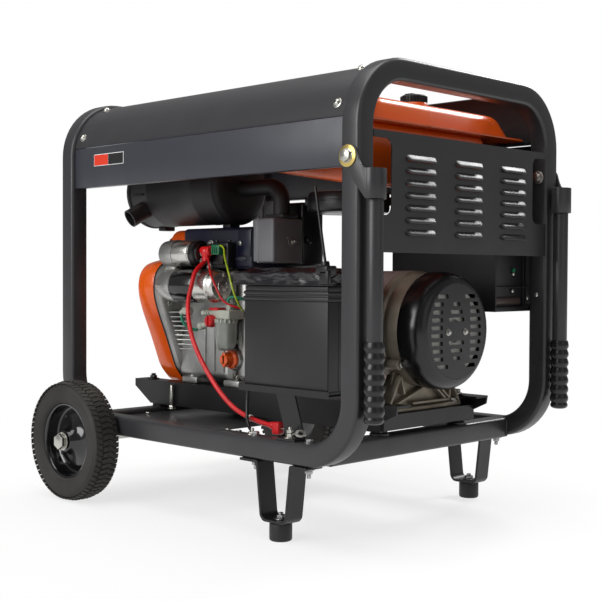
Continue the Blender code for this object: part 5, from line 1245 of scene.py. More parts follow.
block(build, (-0.015, -0.0035), (-0.0985, -0.0315), (0.4105, 0.4825), 0.003, 3)
block(build, (-0.0028, 0.0352), (-0.0998, -0.0302), (0.4096, 0.4834), 0.0042, 4)
block(build, (-0.0035, 0.001), (-0.1004, -0.0296), (0.4088, 0.4838), 0.0012, 2)
turned(build, [(0.0, 0.0008), (0.0085, 0.0008), (0.0092, 0.0)], (0.0352, -0.056, 0.445), (1, 0, 0), 32)
piece("rocker_cover", build, grey_cast, stands_for=("head_cover",), sharp=35)

# %% Silencer
AXIS = Vector((-0.338, -0.06, 0.54))
build = bmesh.new()
turned(build, [(0.0, 0.006), (0.025, 0.0045), (0.045, 0.002), (0.056, 0.0022), (0.0612, 0.006),
               (0.0628, 0.0105), (0.0645, 0.011), (0.0649, 0.0125), (0.0649, 0.016),
               (0.0645, 0.0175), (0.063, 0.018),
               (0.0628, 0.062), (0.0634, 0.064), (0.0634, 0.068), (0.0628, 0.07), (0.0628, 0.185),
               (0.0634, 0.187), (0.0634, 0.191), (0.0628, 0.193), (0.0628, 0.239),
               (0.0645, 0.2398), (0.0649, 0.241), (0.0649, 0.245), (0.0645, 0.2462), (0.0628, 0.2468),
               (0.06, 0.251), (0.054, 0.254), (0.04, 0.2552), (0.0, 0.256)], AXIS, (1, 0, 0), 80)
# outlet: a bored tube leaving the can near its end
mouth = Vector((-0.297, -0.14, 0.4895))
along = Vector((-0.2, -0.85, -0.5)).normalized()
turned(build, [(0.0138, 0.0), (0.0165, 0.0), (0.0168, 0.001), (0.0165, 0.0022), (0.0165, 0.062),
               (0.0135, 0.062), (0.0135, 0.012), (0.0138, 0.0)], mouth, -along, 40)
turned(build, [(0.0, 0.03), (0.0135, 0.03)], mouth, -along, 32)
weld_bead(build, AXIS + Vector((0.03, -0.063, -0.006)), AXIS + Vector((0.056, -0.063, -0.006)), 0.002)
# hanger lugs
for x in (-0.3, -0.12):
    block(build, (x - 0.01, x + 0.01), (-0.064, -0.04), (0.47, 0.479), 0.0016, 2)
piece("silencer", build, stove_black, stands_for=("muffler",), sharp=40)
build = bmesh.new()
pipe = [polar(0.014, i * 360 / 28) for i in range(28)]
loop = ring(build, pipe, (-0.1, -0.058, 0.538), (0, 1, 0), (0, 0, 1))
loop = push(build, loop, (0.086, 0, 0))
loop = bend(build, loop, (-0.014, -0.058, 0.512), (0, 1, 0), 90, 12)
loop = push(build, loop, (0, 0, -0.0264))
block(build, (-0.01, 0.034), (-0.076, -0.04), (0.4838, 0.4905), 0.0016, 2)
piece("exhaust_elbow", build, stove_black, sharp=40)

# %% [markdown]
# ## Air cleaner
# The air cleaner is a shallow round pan of black plastic with a rolled seam and a wing nut. It is
# turned like the silencer, and its intake and clips are rounded blocks set into it.

# %% Air cleaner
build = bmesh.new()
AIR = Vector((0.115, -0.005, 0.4905))
turned(build, [(0.0, 0.0), (0.06, 0.0), (0.065, 0.0012), (0.0672, 0.004), (0.068, 0.008), (0.068, 0.018),
               (0.0672, 0.0188), (0.0672, 0.0205), (0.068, 0.0212), (0.068, 0.03), (0.0665, 0.0335),
               (0.06, 0.035), (0.042, 0.0356), (0.038, 0.034), (0.016, 0.034), (0.014, 0.035),
               (0.006, 0.0352), (0.006, 0.0375), (0.0, 0.0378)], AIR, (0, 0, 1), 72)
block(build, (0.103, 0.127), (-0.0075, -0.0025), (0.5262, 0.5292), 0.001, 2)
block(build, (0.02, 0.08), (-0.02, 0.015), (0.494, 0.5108), 0.004, 3)
block(build, (-0.0118, 0.0338), (-0.0292, 0.0218), (0.4055, 0.5118), 0.004, 3)
turned(build, [(0.0, 0.01), (0.0045, 0.0098), (0.0062, 0.008), (0.0066, 0.005), (0.005, 0.003),
               (0.0042, 0.0)], (0.0336, -0.02, 0.448), (1, 0, 0), 24)
for turn in range(45, 360, 90):
    out, over = polar(0.0665, turn)
    x, y = AIR.x + out, AIR.y + over
    block(build, (x - 0.004, x + 0.004), (y - 0.004, y + 0.004), (0.504, 0.518), 0.0012, 2)
piece("air_cleaner_pan", build, plastic, stands_for=("air_cleaner",), sharp=35)
# %% [markdown]
# ## Alternator
# The alternator is bolted to the crankcase: a cast bell, the stator's finned drum and a cast end
# bracket with the foot that bolts down to the bearers. Fins could be extruded from the drum, but one
# strip copied round the crank's axis keeps its own edges. The foot is a thin web stiffened by zigzag
# ribs, as a sand casting would be, and the end cover's slots are left open in a filled outline.

# %% Bell and drum
def about_crank(degrees):
    """The transform that turns a part about the crank's axis, from a place above that axis."""
    return Matrix.Translation((0, 0, CRANK_Z)) @ Matrix.Rotation(math.radians(degrees), 4, "X")


build = bmesh.new()
turned(build, [(0.022, 0.0), (0.083, 0.0), (0.0868, 0.0014), (0.088, 0.004), (0.088, 0.033), (0.0895, 0.036),
               (0.0918, 0.039), (0.092, 0.04), (0.092, 0.07), (0.0905, 0.0714), (0.022, 0.0714)],
       (-0.0266, 0, CRANK_Z), (1, 0, 0), 96)
for i in range(16):
    rib = bmesh.new()
    block(rib, (-0.0255, 0.013), (-0.0014, 0.0014), (0.087, 0.0914), 0.0006, 2)
    lay_in(build, rib, about_crank((i + 0.5) * 22.5))
piece("cast_bell", build, sand_cast, stands_for=("alternator_bell",), sharp=35)
drum_cast = grained("warm_sand_cast_aluminium", "#b4a19e", "#9a8886", 0.5, 0.9, 0.09, metallic=0.55,
                    wander_mm=45)
build = bmesh.new()
turned(build, [(0.06, 0.0), (0.088, 0.0), (0.0915, 0.001), (0.0918, 0.0025), (0.0918, 0.013), (0.0905, 0.015),
               (0.0868, 0.0156), (0.0868, 0.183), (0.0905, 0.1838), (0.0918, 0.186), (0.0918, 0.1965),
               (0.0912, 0.1985), (0.088, 0.1988), (0.06, 0.1988)], (0.0453, 0, CRANK_Z), (1, 0, 0), 96)
smooth_pad = arc_points((0, CRANK_Z), 0.0914, 12, 168, 26) + arc_points((0, CRANK_Z), 0.086, 168, 12, 26)
outline_sheet(build, smooth_pad, "X", 0.047, 0.2425, 0.0008, 2)
for side in (-1, 1):
    for i in range(14):
        fin = bmesh.new()
        block(fin, (0.06, 0.229), (-0.0011, 0.0011), (0.086, 0.0916), 0.0007, 2)
        lay_in(build, fin, about_crank(side * (96 - i * 5.2)))
piece("finned_drum", build, drum_cast, stands_for=("stator_drum",), sharp=35)

# %% End bracket and foot
cover_plastic = grained("glossy_black_moulding", "#0d0d0f", "#08080a", 0.26, 1.2, 0.015)
bracket_cast = grained("grey_sand_casting", "#9a9182", "#82796c", 0.52, 0.9, 0.1, metallic=0.55, wander_mm=30)
build = bmesh.new()
turned(build, [(0.022, 0.0), (0.0905, 0.0), (0.092, 0.0012), (0.092, 0.012), (0.0905, 0.0136), (0.088, 0.016),
               (0.0872, 0.04), (0.0862, 0.0485), (0.084, 0.0488), (0.022, 0.0488)],
       (0.2448, 0, CRANK_Z), (1, 0, 0), 96)
block(build, (0.2468, 0.276), (-0.091, 0.091), (0.1806, 0.1872), 0.002, 3)
outline_sheet(build, [(-0.076, 0.1868), (0.076, 0.1868), (0.066, 0.242), (-0.066, 0.242)],
              "X", 0.259, 0.2634, 0.0006, 2)
for a, b in (((-0.0885, 0.187), (-0.059, 0.237)), ((-0.059, 0.237), (-0.05, 0.208)),
             ((-0.085, 0.188), (0.018, 0.2225)), ((0.015, 0.2225), (0.052, 0.195)),
             ((0.026, 0.2225), (0.062, 0.195)), ((-0.03, 0.1925), (0.064, 0.1925)),
             ((0.062, 0.19), (0.066, 0.224)), ((0.066, 0.224), (0.0885, 0.187))):
    first, last = Vector(a), Vector(b)
    side = (last - first).normalized().orthogonal() * 0.0019
    outline_sheet(build, [tuple(first - side), tuple(last - side), tuple(last + side), tuple(first + side)],
                  "X", 0.2478, 0.2748, 0.0006, 2)
for y in (-0.062, 0.062):
    turned(build, [(0.0, 0.04), (0.0068, 0.04), (0.0076, 0.0392), (0.0078, 0.0)],
           (0.2484, y * 1.28, 0.255), (1, 0, 0), 24)
piece("end_bracket_casting", build, bracket_cast, stands_for=("alternator_end_bracket",), sharp=35)
build = bmesh.new()
for side in (-1, 1):
    hex_bolt(build, (0.2615, side * 0.0975, 0.1974), (0, 0, 1), 0.0115, 0.006, 0.0098, 0.0016)
    hex_bolt(build, (0.268, side * 0.08, 0.1873), (0, 0, 1), 0.0095, 0.0046, 0.008, 0.0012)
    hex_bolt(build, (0.2884, side * 0.0794, 0.255), (1, 0, 0), 0.0085, 0.004)
piece("foot_bolts", build, zinc)

# %% End cover: a turned rim and a slotted face
FACE_X, ROW = 0.3343, 0.0118
slots = []
for row, half_width, columns in ((4.5, 0.0128, (-0.034, 0.034)), (3.5, 0.0108, (-0.044, 0.044)),
                                 (2.5, 0.012, (-0.0465, 0.0465)), (1.5, 0.0134, (-0.048, 0.048)),
                                 (0.5, 0.0138, (-0.0485, 0.0485)), (3.5, 0.008, (0.0,)),
                                 (2.5, 0.0142, (0.0,)), (1.5, 0.019, (0.0,))):
    for sign in (-1, 1):
        for y in columns:
            z = CRANK_Z + sign * row * ROW
            corners = [(y - half_width, z - 0.0031), (y + half_width, z - 0.0031),
                       (y + half_width - 0.0012, z + 0.0031), (y - half_width - 0.0012, z + 0.0031)]
            slots.append(rounded_outline(corners, 0.0016, 3))
build = bmesh.new()
pierced_sheet(build, [arc_points((0, CRANK_Z), 0.0735, 0, 354, 59)] + slots, "X", FACE_X, 0.0026)
turned(build, [(0.0725, 0.04), (0.0742, 0.04), (0.0768, 0.0394), (0.08, 0.038), (0.0832, 0.0356),
               (0.086, 0.0322), (0.0882, 0.028), (0.0897, 0.0232), (0.0904, 0.0185), (0.0905, 0.014),
               (0.0905, -0.0034), (0.0902, -0.004), (0.0878, -0.004), (0.0875, 0.018), (0.085, 0.029),
               (0.08, 0.0352), (0.0742, 0.0374), (0.0725, 0.0374), (0.0725, 0.04)],
       (0.2943, 0, CRANK_Z), (1, 0, 0), 120)
piece("slotted_end_cover", build, cover_plastic, stands_for=("alternator_end_cover",), sharp=40)

# %% What shows behind the end cover, and its screws
pale_cast = grained("bare_cast_aluminium", "#e6e5de", "#c9c8c2", 0.55, 1.0, 0.05, wander_mm=22)
build = bmesh.new()
turned(build, [(0.01, 0.0), (0.066, 0.0), (0.0666, 0.001), (0.0666, 0.033), (0.064, 0.0345), (0.018, 0.0345),
               (0.017, 0.03), (0.01, 0.03)], (0.294, 0, CRANK_Z), (1, 0, 0), 64)
piece("diode_plate", build, pale_cast)
build = bmesh.new()
for y in (-0.0213, 0.0213):
    hex_bolt(build, (0.3338, y, CRANK_Z - 0.0012), (1, 0, 0), 0.0066, 0.003, 0.0052, 0.0008)
piece("end_cover_screws", build, zinc)

# %% [markdown]
# ## Battery
# A block-shaped starting battery in a polypropylene case, with a ledge and a lid, sits on a folded
# tray. A loose vinyl cover is drawn over its terminals, so its surface is all creases. Cloth physics
# would settle it by chance. Two scales of noise that push a finely cut block inwards give the same
# folds every time.

# %% Battery case
build = bmesh.new()
block(build, (0.0955, 0.2705), (-0.2195, -0.1025), (0.2166, 0.352), 0.0022, 3)
block(build, (0.0941, 0.2719), (-0.2209, -0.1011), (0.3512, 0.357), 0.001, 2)
block(build, (0.096, 0.27), (-0.219, -0.103), (0.356, 0.361), 0.0008, 2)
block(build, (0.0945, 0.2715), (-0.2205, -0.1015), (0.36, 0.365), 0.001, 2)
block(build, (0.0965, 0.2695), (-0.2185, -0.1035), (0.364, 0.3735), 0.0022, 3)
block(build, (0.095, 0.271), (-0.22, -0.102), (0.2166, 0.223), 0.001, 2)
for y in (-0.196, -0.161, -0.126):
    block(build, (0.27, 0.2712), (y - 0.0012, y + 0.0012), (0.224, 0.35), 0.0004, 2)
piece("ribbed_battery_case", build, battery_plastic, stands_for=("battery_case",), sharp=35)

# %% Crinkled terminal cover
vinyl = grained("glossy_black_vinyl", "#0e0d14", "#08080c", 0.3, 2.2, 0.02, Coat_Weight=0.15,
                Coat_Roughness=0.2)
build = bmesh.new()
low, high = Vector((0.0724, -0.2216, 0.3739)), Vector((0.2726, -0.1004, 0.4016))
block(build, (low.x, high.x), (low.y, high.y), (low.z, high.z))
bmesh.ops.subdivide_edges(build, edges=build.edges[:], cuts=46, use_grid_fill=True)
middle = (low + high) / 2
half = (high - low) / 2
for vertex in build.verts:
    place = vertex.co.copy()
    across = Vector(((place.x - middle.x) / half.x, (place.y - middle.y) / half.y))
    up = (place.z - low.z) / (high.z - low.z)
    # the sheet droops towards its edges, and big folds and small creases cross it
    droop = 0.008 * max(abs(across.x), abs(across.y)) ** 6
    fold = 1 - abs(noise.noise(place * 26 + Vector((3.1, 0.4, 0.0)))) * 2.2
    crease = 1 - abs(noise.noise(Vector((place.x * 70, place.y * 95, place.z * 120)))) * 2
    sink = droop + 0.0048 * (1 - fold) + 0.0012 * (1 - crease)
    vertex.co.z = max(low.z, place.z - sink * up)
    pull = 0.0036 * (1 - fold) + 0.0007 * (1 - crease)
    for axis in (0, 1):
        if abs(across[axis]) > 0.999:
            vertex.co[axis] -= math.copysign(min(pull, 0.006) * min(1.0, up * 3 + 0.15), across[axis])
bmesh.ops.smooth_vert(build, verts=build.verts[:], factor=0.35, use_axis_x=True, use_axis_y=True,
                      use_axis_z=True)
piece("crinkled_terminal_cover", build, vinyl, stands_for=("battery_cover",), sharp=70)

# %% [markdown]
# ## Clamp and tray bolts
# A hooked clamp on a slanting draw rod pulls the battery down, and plated bolts hold the tray. Both
# are rods and rounded blocks laid where their holes are.

# %% Hold-down clamp and its draw rod
build = bmesh.new()
block(build, (0.248, 0.272), (-0.2235, -0.202), (0.39, 0.403), 0.0024, 3)
block(build, (0.256, 0.274), (-0.2235, -0.216), (0.376, 0.396), 0.002, 3)
rod(build, (0.259, -0.212, 0.401), (-0.075, 0.0, 0.4), 0.0021, 0.118, 16)
rod(build, (0.259, -0.212, 0.4), (-0.075, 0.0, 0.4), 0.0062, 0.009, 20, bevel=0.0016)
piece("hold_down_clamp", build, plastic, sharp=35)

# %% Tray bolts
build = bmesh.new()
hex_bolt(build, (0.209, -0.233, 0.1524), (0, 0, 1), 0.011, 0.0052, 0.0095, 0.0014)
rod(build, (0.209, -0.233, 0.158), (0, 0, 1), 0.003, 0.0105, 16, bevel=0.0006)
hex_bolt(build, (0.209, -0.233, 0.1598), (0, 0, 1), 0.01, 0.0045)
hex_bolt(build, (0.128, -0.2322, 0.1491), (0, 0, 1), 0.012, 0.003, 0.009, 0.0012)
rod(build, (0.1283, -0.2322, 0.153), (0, 0, 1), 0.0026, 0.006, 16, bevel=0.0005)
turned(build, [(0.0042, 0.0), (0.0078, 0.0), (0.008, 0.0003), (0.008, 0.0015), (0.0078, 0.0018),
               (0.0042, 0.0018), (0.0042, 0.0)], (0.23, -0.233, 0.16), (0.55, -0.45, 1), 28)
block(build, (0.214, 0.226), (-0.235, -0.231), (0.1585, 0.16), 0.0005, 2)
for x, y in ((0.03, -0.194), (0.056, -0.194)):
    hex_bolt(build, (x, y, 0.1391), (0, 0, 1), 0.009, 0.0046, 0.008, 0.0012)
piece("tray_bolts", build, zinc)

# %% [markdown]
# ## Leads
# The starting lead is a soft red cable that hangs from the solenoid's boot and curves down to a lug
# on the base. A thinner black earth lead drops from the battery to the rail. Two thin control wires
# cross the starter. A skinned chain of edges would swell at the bends, so each lead is one smooth
# curve of its real length and thickness.

# %% Cables
LEAD_ROUTE = [
    (-0.0926, -0.1335, 0.4175), (-0.0925, -0.1385, 0.4105), (-0.09, -0.16, 0.394),
    (-0.086, -0.172, 0.37), (-0.079, -0.185, 0.343), (-0.068, -0.193, 0.315),
    (-0.052, -0.199, 0.287), (-0.031, -0.203, 0.26), (-0.007, -0.206, 0.235),
    (0.018, -0.208, 0.212), (0.044, -0.209, 0.192), (0.07, -0.209, 0.178),
    (0.096, -0.2085, 0.17), (0.118, -0.2085, 0.1655), (0.138, -0.2085, 0.1628),
    (0.1499, -0.2085, 0.1621),
]
GROUND_ROUTE = [
    (0.099, -0.215, 0.2127), (0.0992, -0.2156, 0.206), (0.1, -0.2172, 0.193),
    (0.103, -0.22, 0.179), (0.108, -0.224, 0.167), (0.116, -0.228, 0.159),
    (0.123, -0.2305, 0.1555), (0.127, -0.2318, 0.153), (0.1283, -0.2322, 0.1497),
]
build = bmesh.new()
block(build, (0.151, 0.1662), (-0.2152, -0.2018), (0.15, 0.1688), 0.003, 4)
rod(build, (0.1512, -0.2085, 0.1621), (-1, 0, 0.06), 0.0064, 0.0085, 28, bevel=0.0012, tip=0.005)
lug_boot = piece("lug_boot", build, red_pvc, stands_for=("lead_lug_boot",), sharp=40)
build = bmesh.new()
block(build, (0.1644, 0.18), (-0.2115, -0.2055), (0.1592, 0.1608), 0.0005, 2)
turned(build, [(0.0034, 0.0), (0.0062, 0.0), (0.0064, 0.0002), (0.0064, 0.0014), (0.0062, 0.0016),
               (0.0034, 0.0016), (0.0034, 0.0)], (0.185, -0.2085, 0.1592), (0, 0, 1), 28)
lug = piece("ring_lug", build, zinc)
free_cord("starting_lead", LEAD_ROUTE, 0.0076, red_pvc, stands_for=("battery_lead",))
free_cord("earth_lead", GROUND_ROUTE, 0.0052, plastic, stands_for=("ground_lead",))

# %% Control wires and the tie
yellow_green = grained("yellow_green_pvc", "#a9b81e", "#8fae22", 0.36, 2.0, 0.02, wander_mm=12)
free_cord("yellow_wire", [
    (-0.064, -0.131, 0.437), (-0.056, -0.132, 0.4375), (-0.046, -0.135, 0.431),
    (-0.0368, -0.142, 0.4193), (-0.0187, -0.152, 0.4006), (-0.0033, -0.158, 0.3777),
    (0.0042, -0.158, 0.3595), (0.0067, -0.15, 0.3412), (0.005, -0.138, 0.33),
], 0.0034, yellow_green)
free_cord("red_wire", [
    (-0.0868, -0.135, 0.418), (-0.0768, -0.142, 0.4101), (-0.0571, -0.155, 0.3912),
    (-0.0356, -0.163, 0.3705), (-0.0215, -0.16, 0.3477), (-0.0086, -0.15, 0.3381),
    (-0.001, -0.138, 0.334),
], 0.0034, red_pvc)
white_nylon = grained("white_nylon_tie", "#d8d8d4", "#cacac6", 0.4, 1.0, 0.01)
build = bmesh.new()
turned(build, [(0.004, 0.0), (0.0052, 0.0), (0.0052, 0.0034), (0.004, 0.0034), (0.004, 0.0)],
       (0.097, -0.2085, 0.1698), (1, 0, -0.22), 24)
block(build, (0.096, 0.101), (-0.2165, -0.2125), (0.169, 0.1725), 0.0008, 2)
piece("cable_tie", build, white_nylon)
# %% [markdown]
# ## Control box
# The box is a folded steel tray, open below, behind a plate that carries the meter, two sockets, the
# output knob, the starting key, the breaker and the two welding terminals. All face the far side.
# Holes are left open in filled outlines, which needs no boolean, and round parts are turned. The dial
# round the knob has plain numbers only.

# %% Box and front plate
BOX_X, BOX_Y, BOX_Z = (0.104, 0.3195), (0.122, 0.243), (0.331, 0.5385)
inner_black = grained("black_dipped_sheet", "#0d0d12", "#08080c", 0.48, 1.4, 0.02)
build = bmesh.new()
block(build, BOX_X, (0.122, 0.1238), BOX_Z, 0.0007, 2)
block(build, (BOX_X[0], BOX_X[0] + 0.0018), BOX_Y, BOX_Z, 0.0007, 2)
block(build, (0.312, 0.3138), (0.1238, 0.24), (0.331, 0.5385), 0.0007, 2)
block(build, BOX_X, (0.122, 0.24), (0.5367, 0.5385), 0.0007, 2)
# lips of the open end, with a brown bakelite strip behind them
block(build, (0.31, 0.3195), (0.1225, 0.2395), (0.37, 0.3718), 0.0006, 2)
block(build, (0.31, 0.3195), (0.1225, 0.2395), (0.331, 0.3395), 0.0016, 2)
for y in (0.126, 0.205, 0.212):
    block(build, (0.3125, 0.318), (y - 0.001, y + 0.001), (0.3395, 0.536), 0.0005, 2)
block(build, (0.106, 0.311), (0.124, 0.2395), (0.4, 0.41), 0.001, 2)
piece("control_tray", build, inner_black, stands_for=("control_box",), sharp=35)
bakelite = grained("brown_bakelite", "#4a3a35", "#3a2d29", 0.42, 2.0, 0.02)
build = bmesh.new()
block(build, (0.31, 0.3188), (0.125, 0.196), (0.342, 0.3545), 0.004, 4)
piece("terminal_strip", build, bakelite)
green_cap = grained("green_earth_screw", "#12805a", "#0e6f4d", 0.35, 1.5, 0.01)
build = bmesh.new()
turned(build, [(0.0, 0.0034), (0.0022, 0.0034), (0.0032, 0.0026), (0.0036, 0.0)], (0.3152, 0.1771, 0.3985),
       (1, 0, 0), 24)
piece("earth_screw_ring", build, green_cap)
build = bmesh.new()
for x, y, z in ((0.3155, 0.1762, 0.3925), (0.3155, 0.1743, 0.3645), (0.3155, 0.218, 0.352)):
    turned(build, [(0.0, 0.0036), (0.002, 0.0034), (0.0032, 0.0022), (0.0035, 0.0)], (x, y, z), (1, 0, 0), 24)
# one more screw holds the tray's end through the post's inner face
turned(build, [(0.0, 0.004), (0.0024, 0.0038), (0.0036, 0.0024), (0.0039, 0.0)],
       (POST_X - 0.0008, SIDE_Y - TUBE + 0.0004, 0.3583), (0, -1, 0), 24)
piece("tray_screws", build, zinc)

FRONT = 0.2433
SOCKETS, SOCKET_Z = (0.222, 0.282), 0.493
build = bmesh.new()
pierced_sheet(build, [rounded_rectangle((0.106, 0.3175), (0.333, 0.5365), 0.004, 4)]
              + [arc_points((x, SOCKET_Z), 0.02, 0, 345, 23) for x in SOCKETS], "Y", FRONT - 0.0003, 0.0018)
piece("control_plate", build, charcoal, sharp=35)

# %% [markdown]
# ## Meter and sockets
# The meter has a white card with marks and a needle behind a clear window. Each mark is one strip
# turned about the needle's pivot. A socket is a square flange round a turned, recessed cup.

# %% Meter and sockets
meter_face = grained("white_meter_card", "#dcdcd6", "#d2d2cc", 0.5, 1.0, 0.005)
glass = grained("clear_acrylic", "#e8ecec", "#dfe4e4", 0.06, 4.0, 0.002, Transmission_Weight=0.9, IOR=1.49)
build = bmesh.new()
for x in ((0.122, 0.1262), (0.1778, 0.182)):
    block(build, x, (FRONT - 0.001, FRONT + 0.005), (0.468, 0.518), 0.0012, 2)
for z in ((0.468, 0.4765), (0.5135, 0.518)):
    block(build, (0.122, 0.182), (FRONT - 0.001, FRONT + 0.005), z, 0.0012, 2)
for x in SOCKETS:
    flange = bmesh.new()
    pierced_sheet(flange, [rounded_rectangle((x - 0.024, x + 0.024), (0.469, 0.517), 0.005),
                           arc_points((x, SOCKET_Z), 0.0186, 0, 352, 44)], "Y", FRONT + 0.003, 0.003)
    lay_in(build, flange)
    turned(build, [(0.0, -0.01), (0.0184, -0.01), (0.0184, 0.0026), (0.0192, 0.0026), (0.0192, -0.011),
                   (0.0, -0.011)], (x, FRONT, SOCKET_Z), (0, 1, 0), 48)
piece("meter_bezel_and_sockets", build, plastic, sharp=35)
build = bmesh.new()
for x in SOCKETS:
    for dx in (-0.0095, 0.0095):
        rod(build, (x + dx, FRONT - 0.0098, SOCKET_Z), (0, 1, 0), 0.0026, 0.0004, 20)
    for dz in (-0.0165, 0.0165):
        block(build, (x - 0.003, x + 0.003), (FRONT - 0.0098, FRONT - 0.001),
              sorted((SOCKET_Z + dz, SOCKET_Z + dz * 0.86)), 0.0005, 2)
piece("socket_contacts", build, steel)
build = bmesh.new()
block(build, (0.1264, 0.1776), (FRONT + 0.0002, FRONT + 0.001), (0.4767, 0.5133))
piece("meter_card", build, meter_face)
build = bmesh.new()
for i in range(11):
    mark = bmesh.new()
    block(mark, (-0.0004, 0.0004), (FRONT + 0.001, FRONT + 0.0014), (0.0225, 0.027 if i % 5 == 0 else 0.025))
    lay_in(build, mark, Matrix.Translation((0.152, 0, 0.481))
           @ Matrix.Rotation(math.radians(60 - 12 * i), 4, "Y"))
rod(build, (0.152, FRONT + 0.0016, 0.4812), (-0.55, 0, 0.8), 0.0004, 0.024, 8)
rod(build, (0.152, FRONT + 0.001, 0.4812), (0, 1, 0), 0.003, 0.0014, 20)
piece("meter_marks", build, satin_black)
build = bmesh.new()
block(build, (0.1262, 0.1778), (FRONT + 0.0034, FRONT + 0.0044), (0.4765, 0.5135), 0.0003, 1)
piece("meter_window", build, glass)

# %% [markdown]
# ## Knob
# The moulded knob is gripped by flutes. It could be a star outline pushed up, but a turned profile
# with thin rods round it gets a rolled foot too. Marks and numbers are printed white.

# %% Knob with its dial
KNOB = Vector((0.152, FRONT, 0.425))
build = bmesh.new()
turned(build, [(0.0, 0.018), (0.012, 0.018), (0.014, 0.0172), (0.015, 0.015), (0.016, 0.006), (0.0194, 0.003),
               (0.0195, 0.0006), (0.019, 0.0002), (0.0, 0.0002)], KNOB, (0, 1, 0), 48)
for turn in range(0, 360, 20):
    x, z = polar(1.0, turn)
    rod(build, KNOB + Vector((0.0152 * x, 0.004, 0.0152 * z)), (-0.04 * x, 1, -0.04 * z), 0.0013, 0.012, 8)
piece("fluted_knob", build, plastic, body="current_knob", stands_for=("current_knob",), sharp=35)
build = bmesh.new()
block(build, (0.1513, 0.1527), (FRONT + 0.0176, FRONT + 0.0182), (0.429, 0.4385), 0.0002, 1)
piece("knob_pointer", build, white_print, body="current_knob")
build = bmesh.new()
for i in range(11):
    z, x = polar(1.0, -135 + 27 * i)
    out = Vector((x, 0, z))
    rod(build, KNOB + out * 0.0215, out, 0.0004, 0.003, 8)
piece("dial_marks", build, white_print)

# %% Numbers round the dial
for number in range(0, 11, 2):
    z, x = polar(0.0285, 135 - 27 * number)
    text = bpy.data.curves.new(f"dial_number_{number}", "FONT")
    text.body = str(number)
    text.size = 0.0052
    text.extrude = 0.0001
    text.align_x = text.align_y = "CENTER"
    lettering = linked("lettering", text)
    data = bpy.data.meshes.new_from_object(lettering)
    bpy.data.objects.remove(lettering)
    # the text lies flat, so it is stood up and turned to face the far side
    data.transform(Matrix.Translation(KNOB + Vector((x, 0.0001, z))) @ Matrix.Rotation(math.pi, 4, "Z")
                   @ Matrix.Rotation(math.radians(90), 4, "X"))
    data.materials.clear()
    data.materials.append(white_print)
    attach(linked(f"dial_number_{number}", data), "frame")
print("dial numbers", list(range(0, 11, 2)))

# %% [markdown]
# ## Rings and surrounds
# The key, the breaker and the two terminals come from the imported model. Turned collars and thin
# frames show how each is seated in the plate.

# %% Key, breaker and welding terminals
build = bmesh.new()
turned(build, [(0.0088, 0.0), (0.012, 0.0), (0.0122, 0.002), (0.0108, 0.0032), (0.009, 0.0032),
               (0.0088, 0.0)], (0.292, FRONT - 0.0004, 0.432), (0, 1, 0), 40)
piece("key_surround", build, zinc)
build = bmesh.new()
block(build, (0.206, 0.238), (FRONT - 0.002, FRONT + 0.001), (0.416, 0.422), 0.0008, 2)
block(build, (0.206, 0.238), (FRONT - 0.002, FRONT + 0.001), (0.444, 0.45), 0.0008, 2)
for x in ((0.206, 0.2125), (0.2315, 0.238)):
    block(build, x, (FRONT - 0.002, FRONT + 0.001), (0.4222, 0.4438), 0.0008, 2)
piece("breaker_surround", build, plastic)
for x, name, colour in ((0.16, "positive", red_pvc), (0.25, "negative", plastic)):
    build = bmesh.new()
    turned(build, [(0.0182, 0.0), (0.0225, 0.0), (0.023, 0.001), (0.023, 0.004), (0.0215, 0.005),
                   (0.0182, 0.005), (0.0182, 0.0)], (x, FRONT - 0.0004, 0.37), (0, 1, 0), 48)
    piece(f"terminal_collar_{name}", build, colour)
# %% [markdown]
# ## Bearers and small fasteners
# Two folded steel bearers carry the engine and alternator on rubber blocks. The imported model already
# has their shape, so only what holds them is added: plated studs with nuts, and bolts of the base
# sheet. A nut is a six-sided rod with its end edges rounded, which is enough at this size.

# %% Fasteners of the bearers and the frame
build = bmesh.new()
for side in (-1, 1):
    # a stud with its nut beside the bearer
    rod(build, (-0.203, side * 0.1182, 0.1492), (0, 0, 1), 0.0034, 0.043, 18, bevel=0.0006)
    hex_bolt(build, (-0.203, side * 0.1182, 0.15), (0, 0, 1), 0.01, 0.0048, 0.0075, 0.0012)
    # bolt of the base sheet's flange, and the pivot bolt's end inside each post
    hex_bolt(build, (-0.23, side * 0.15, 0.1392), (0, 0, 1), 0.009, 0.004, 0.008, 0.0012)
    hex_bolt(build, (POST_X, side * (SIDE_Y - TUBE - 0.0004), PIVOT.z), (0, -side, 0), 0.013, 0.006,
             0.011, 0.0016)
piece("frame_fasteners", build, zinc)
build = bmesh.new()
for side in (-1, 1):
    top = hex_bolt(build, (-0.28, side * 0.0985, 0.1973), (0, 0, 1), 0.012, 0.005, 0.0105, 0.0014)
    rod(build, top, (0, 0, 1), 0.0042, 0.0036, 16, bevel=0.0008)
piece("bearer_tip_bolts", build, satin_black)

# %% [markdown]
# ## Studio
# The machine stands on a plain white floor in soft, even light. A large soft lamp lights the battery
# side, a weak one the alternator end, one overhead gives the covers their broad sheen, and one behind
# picks out the edges. A white floor would throw much light up, so its own colour is grey to every
# other ray and white only to the camera, where it keeps a soft shadow.

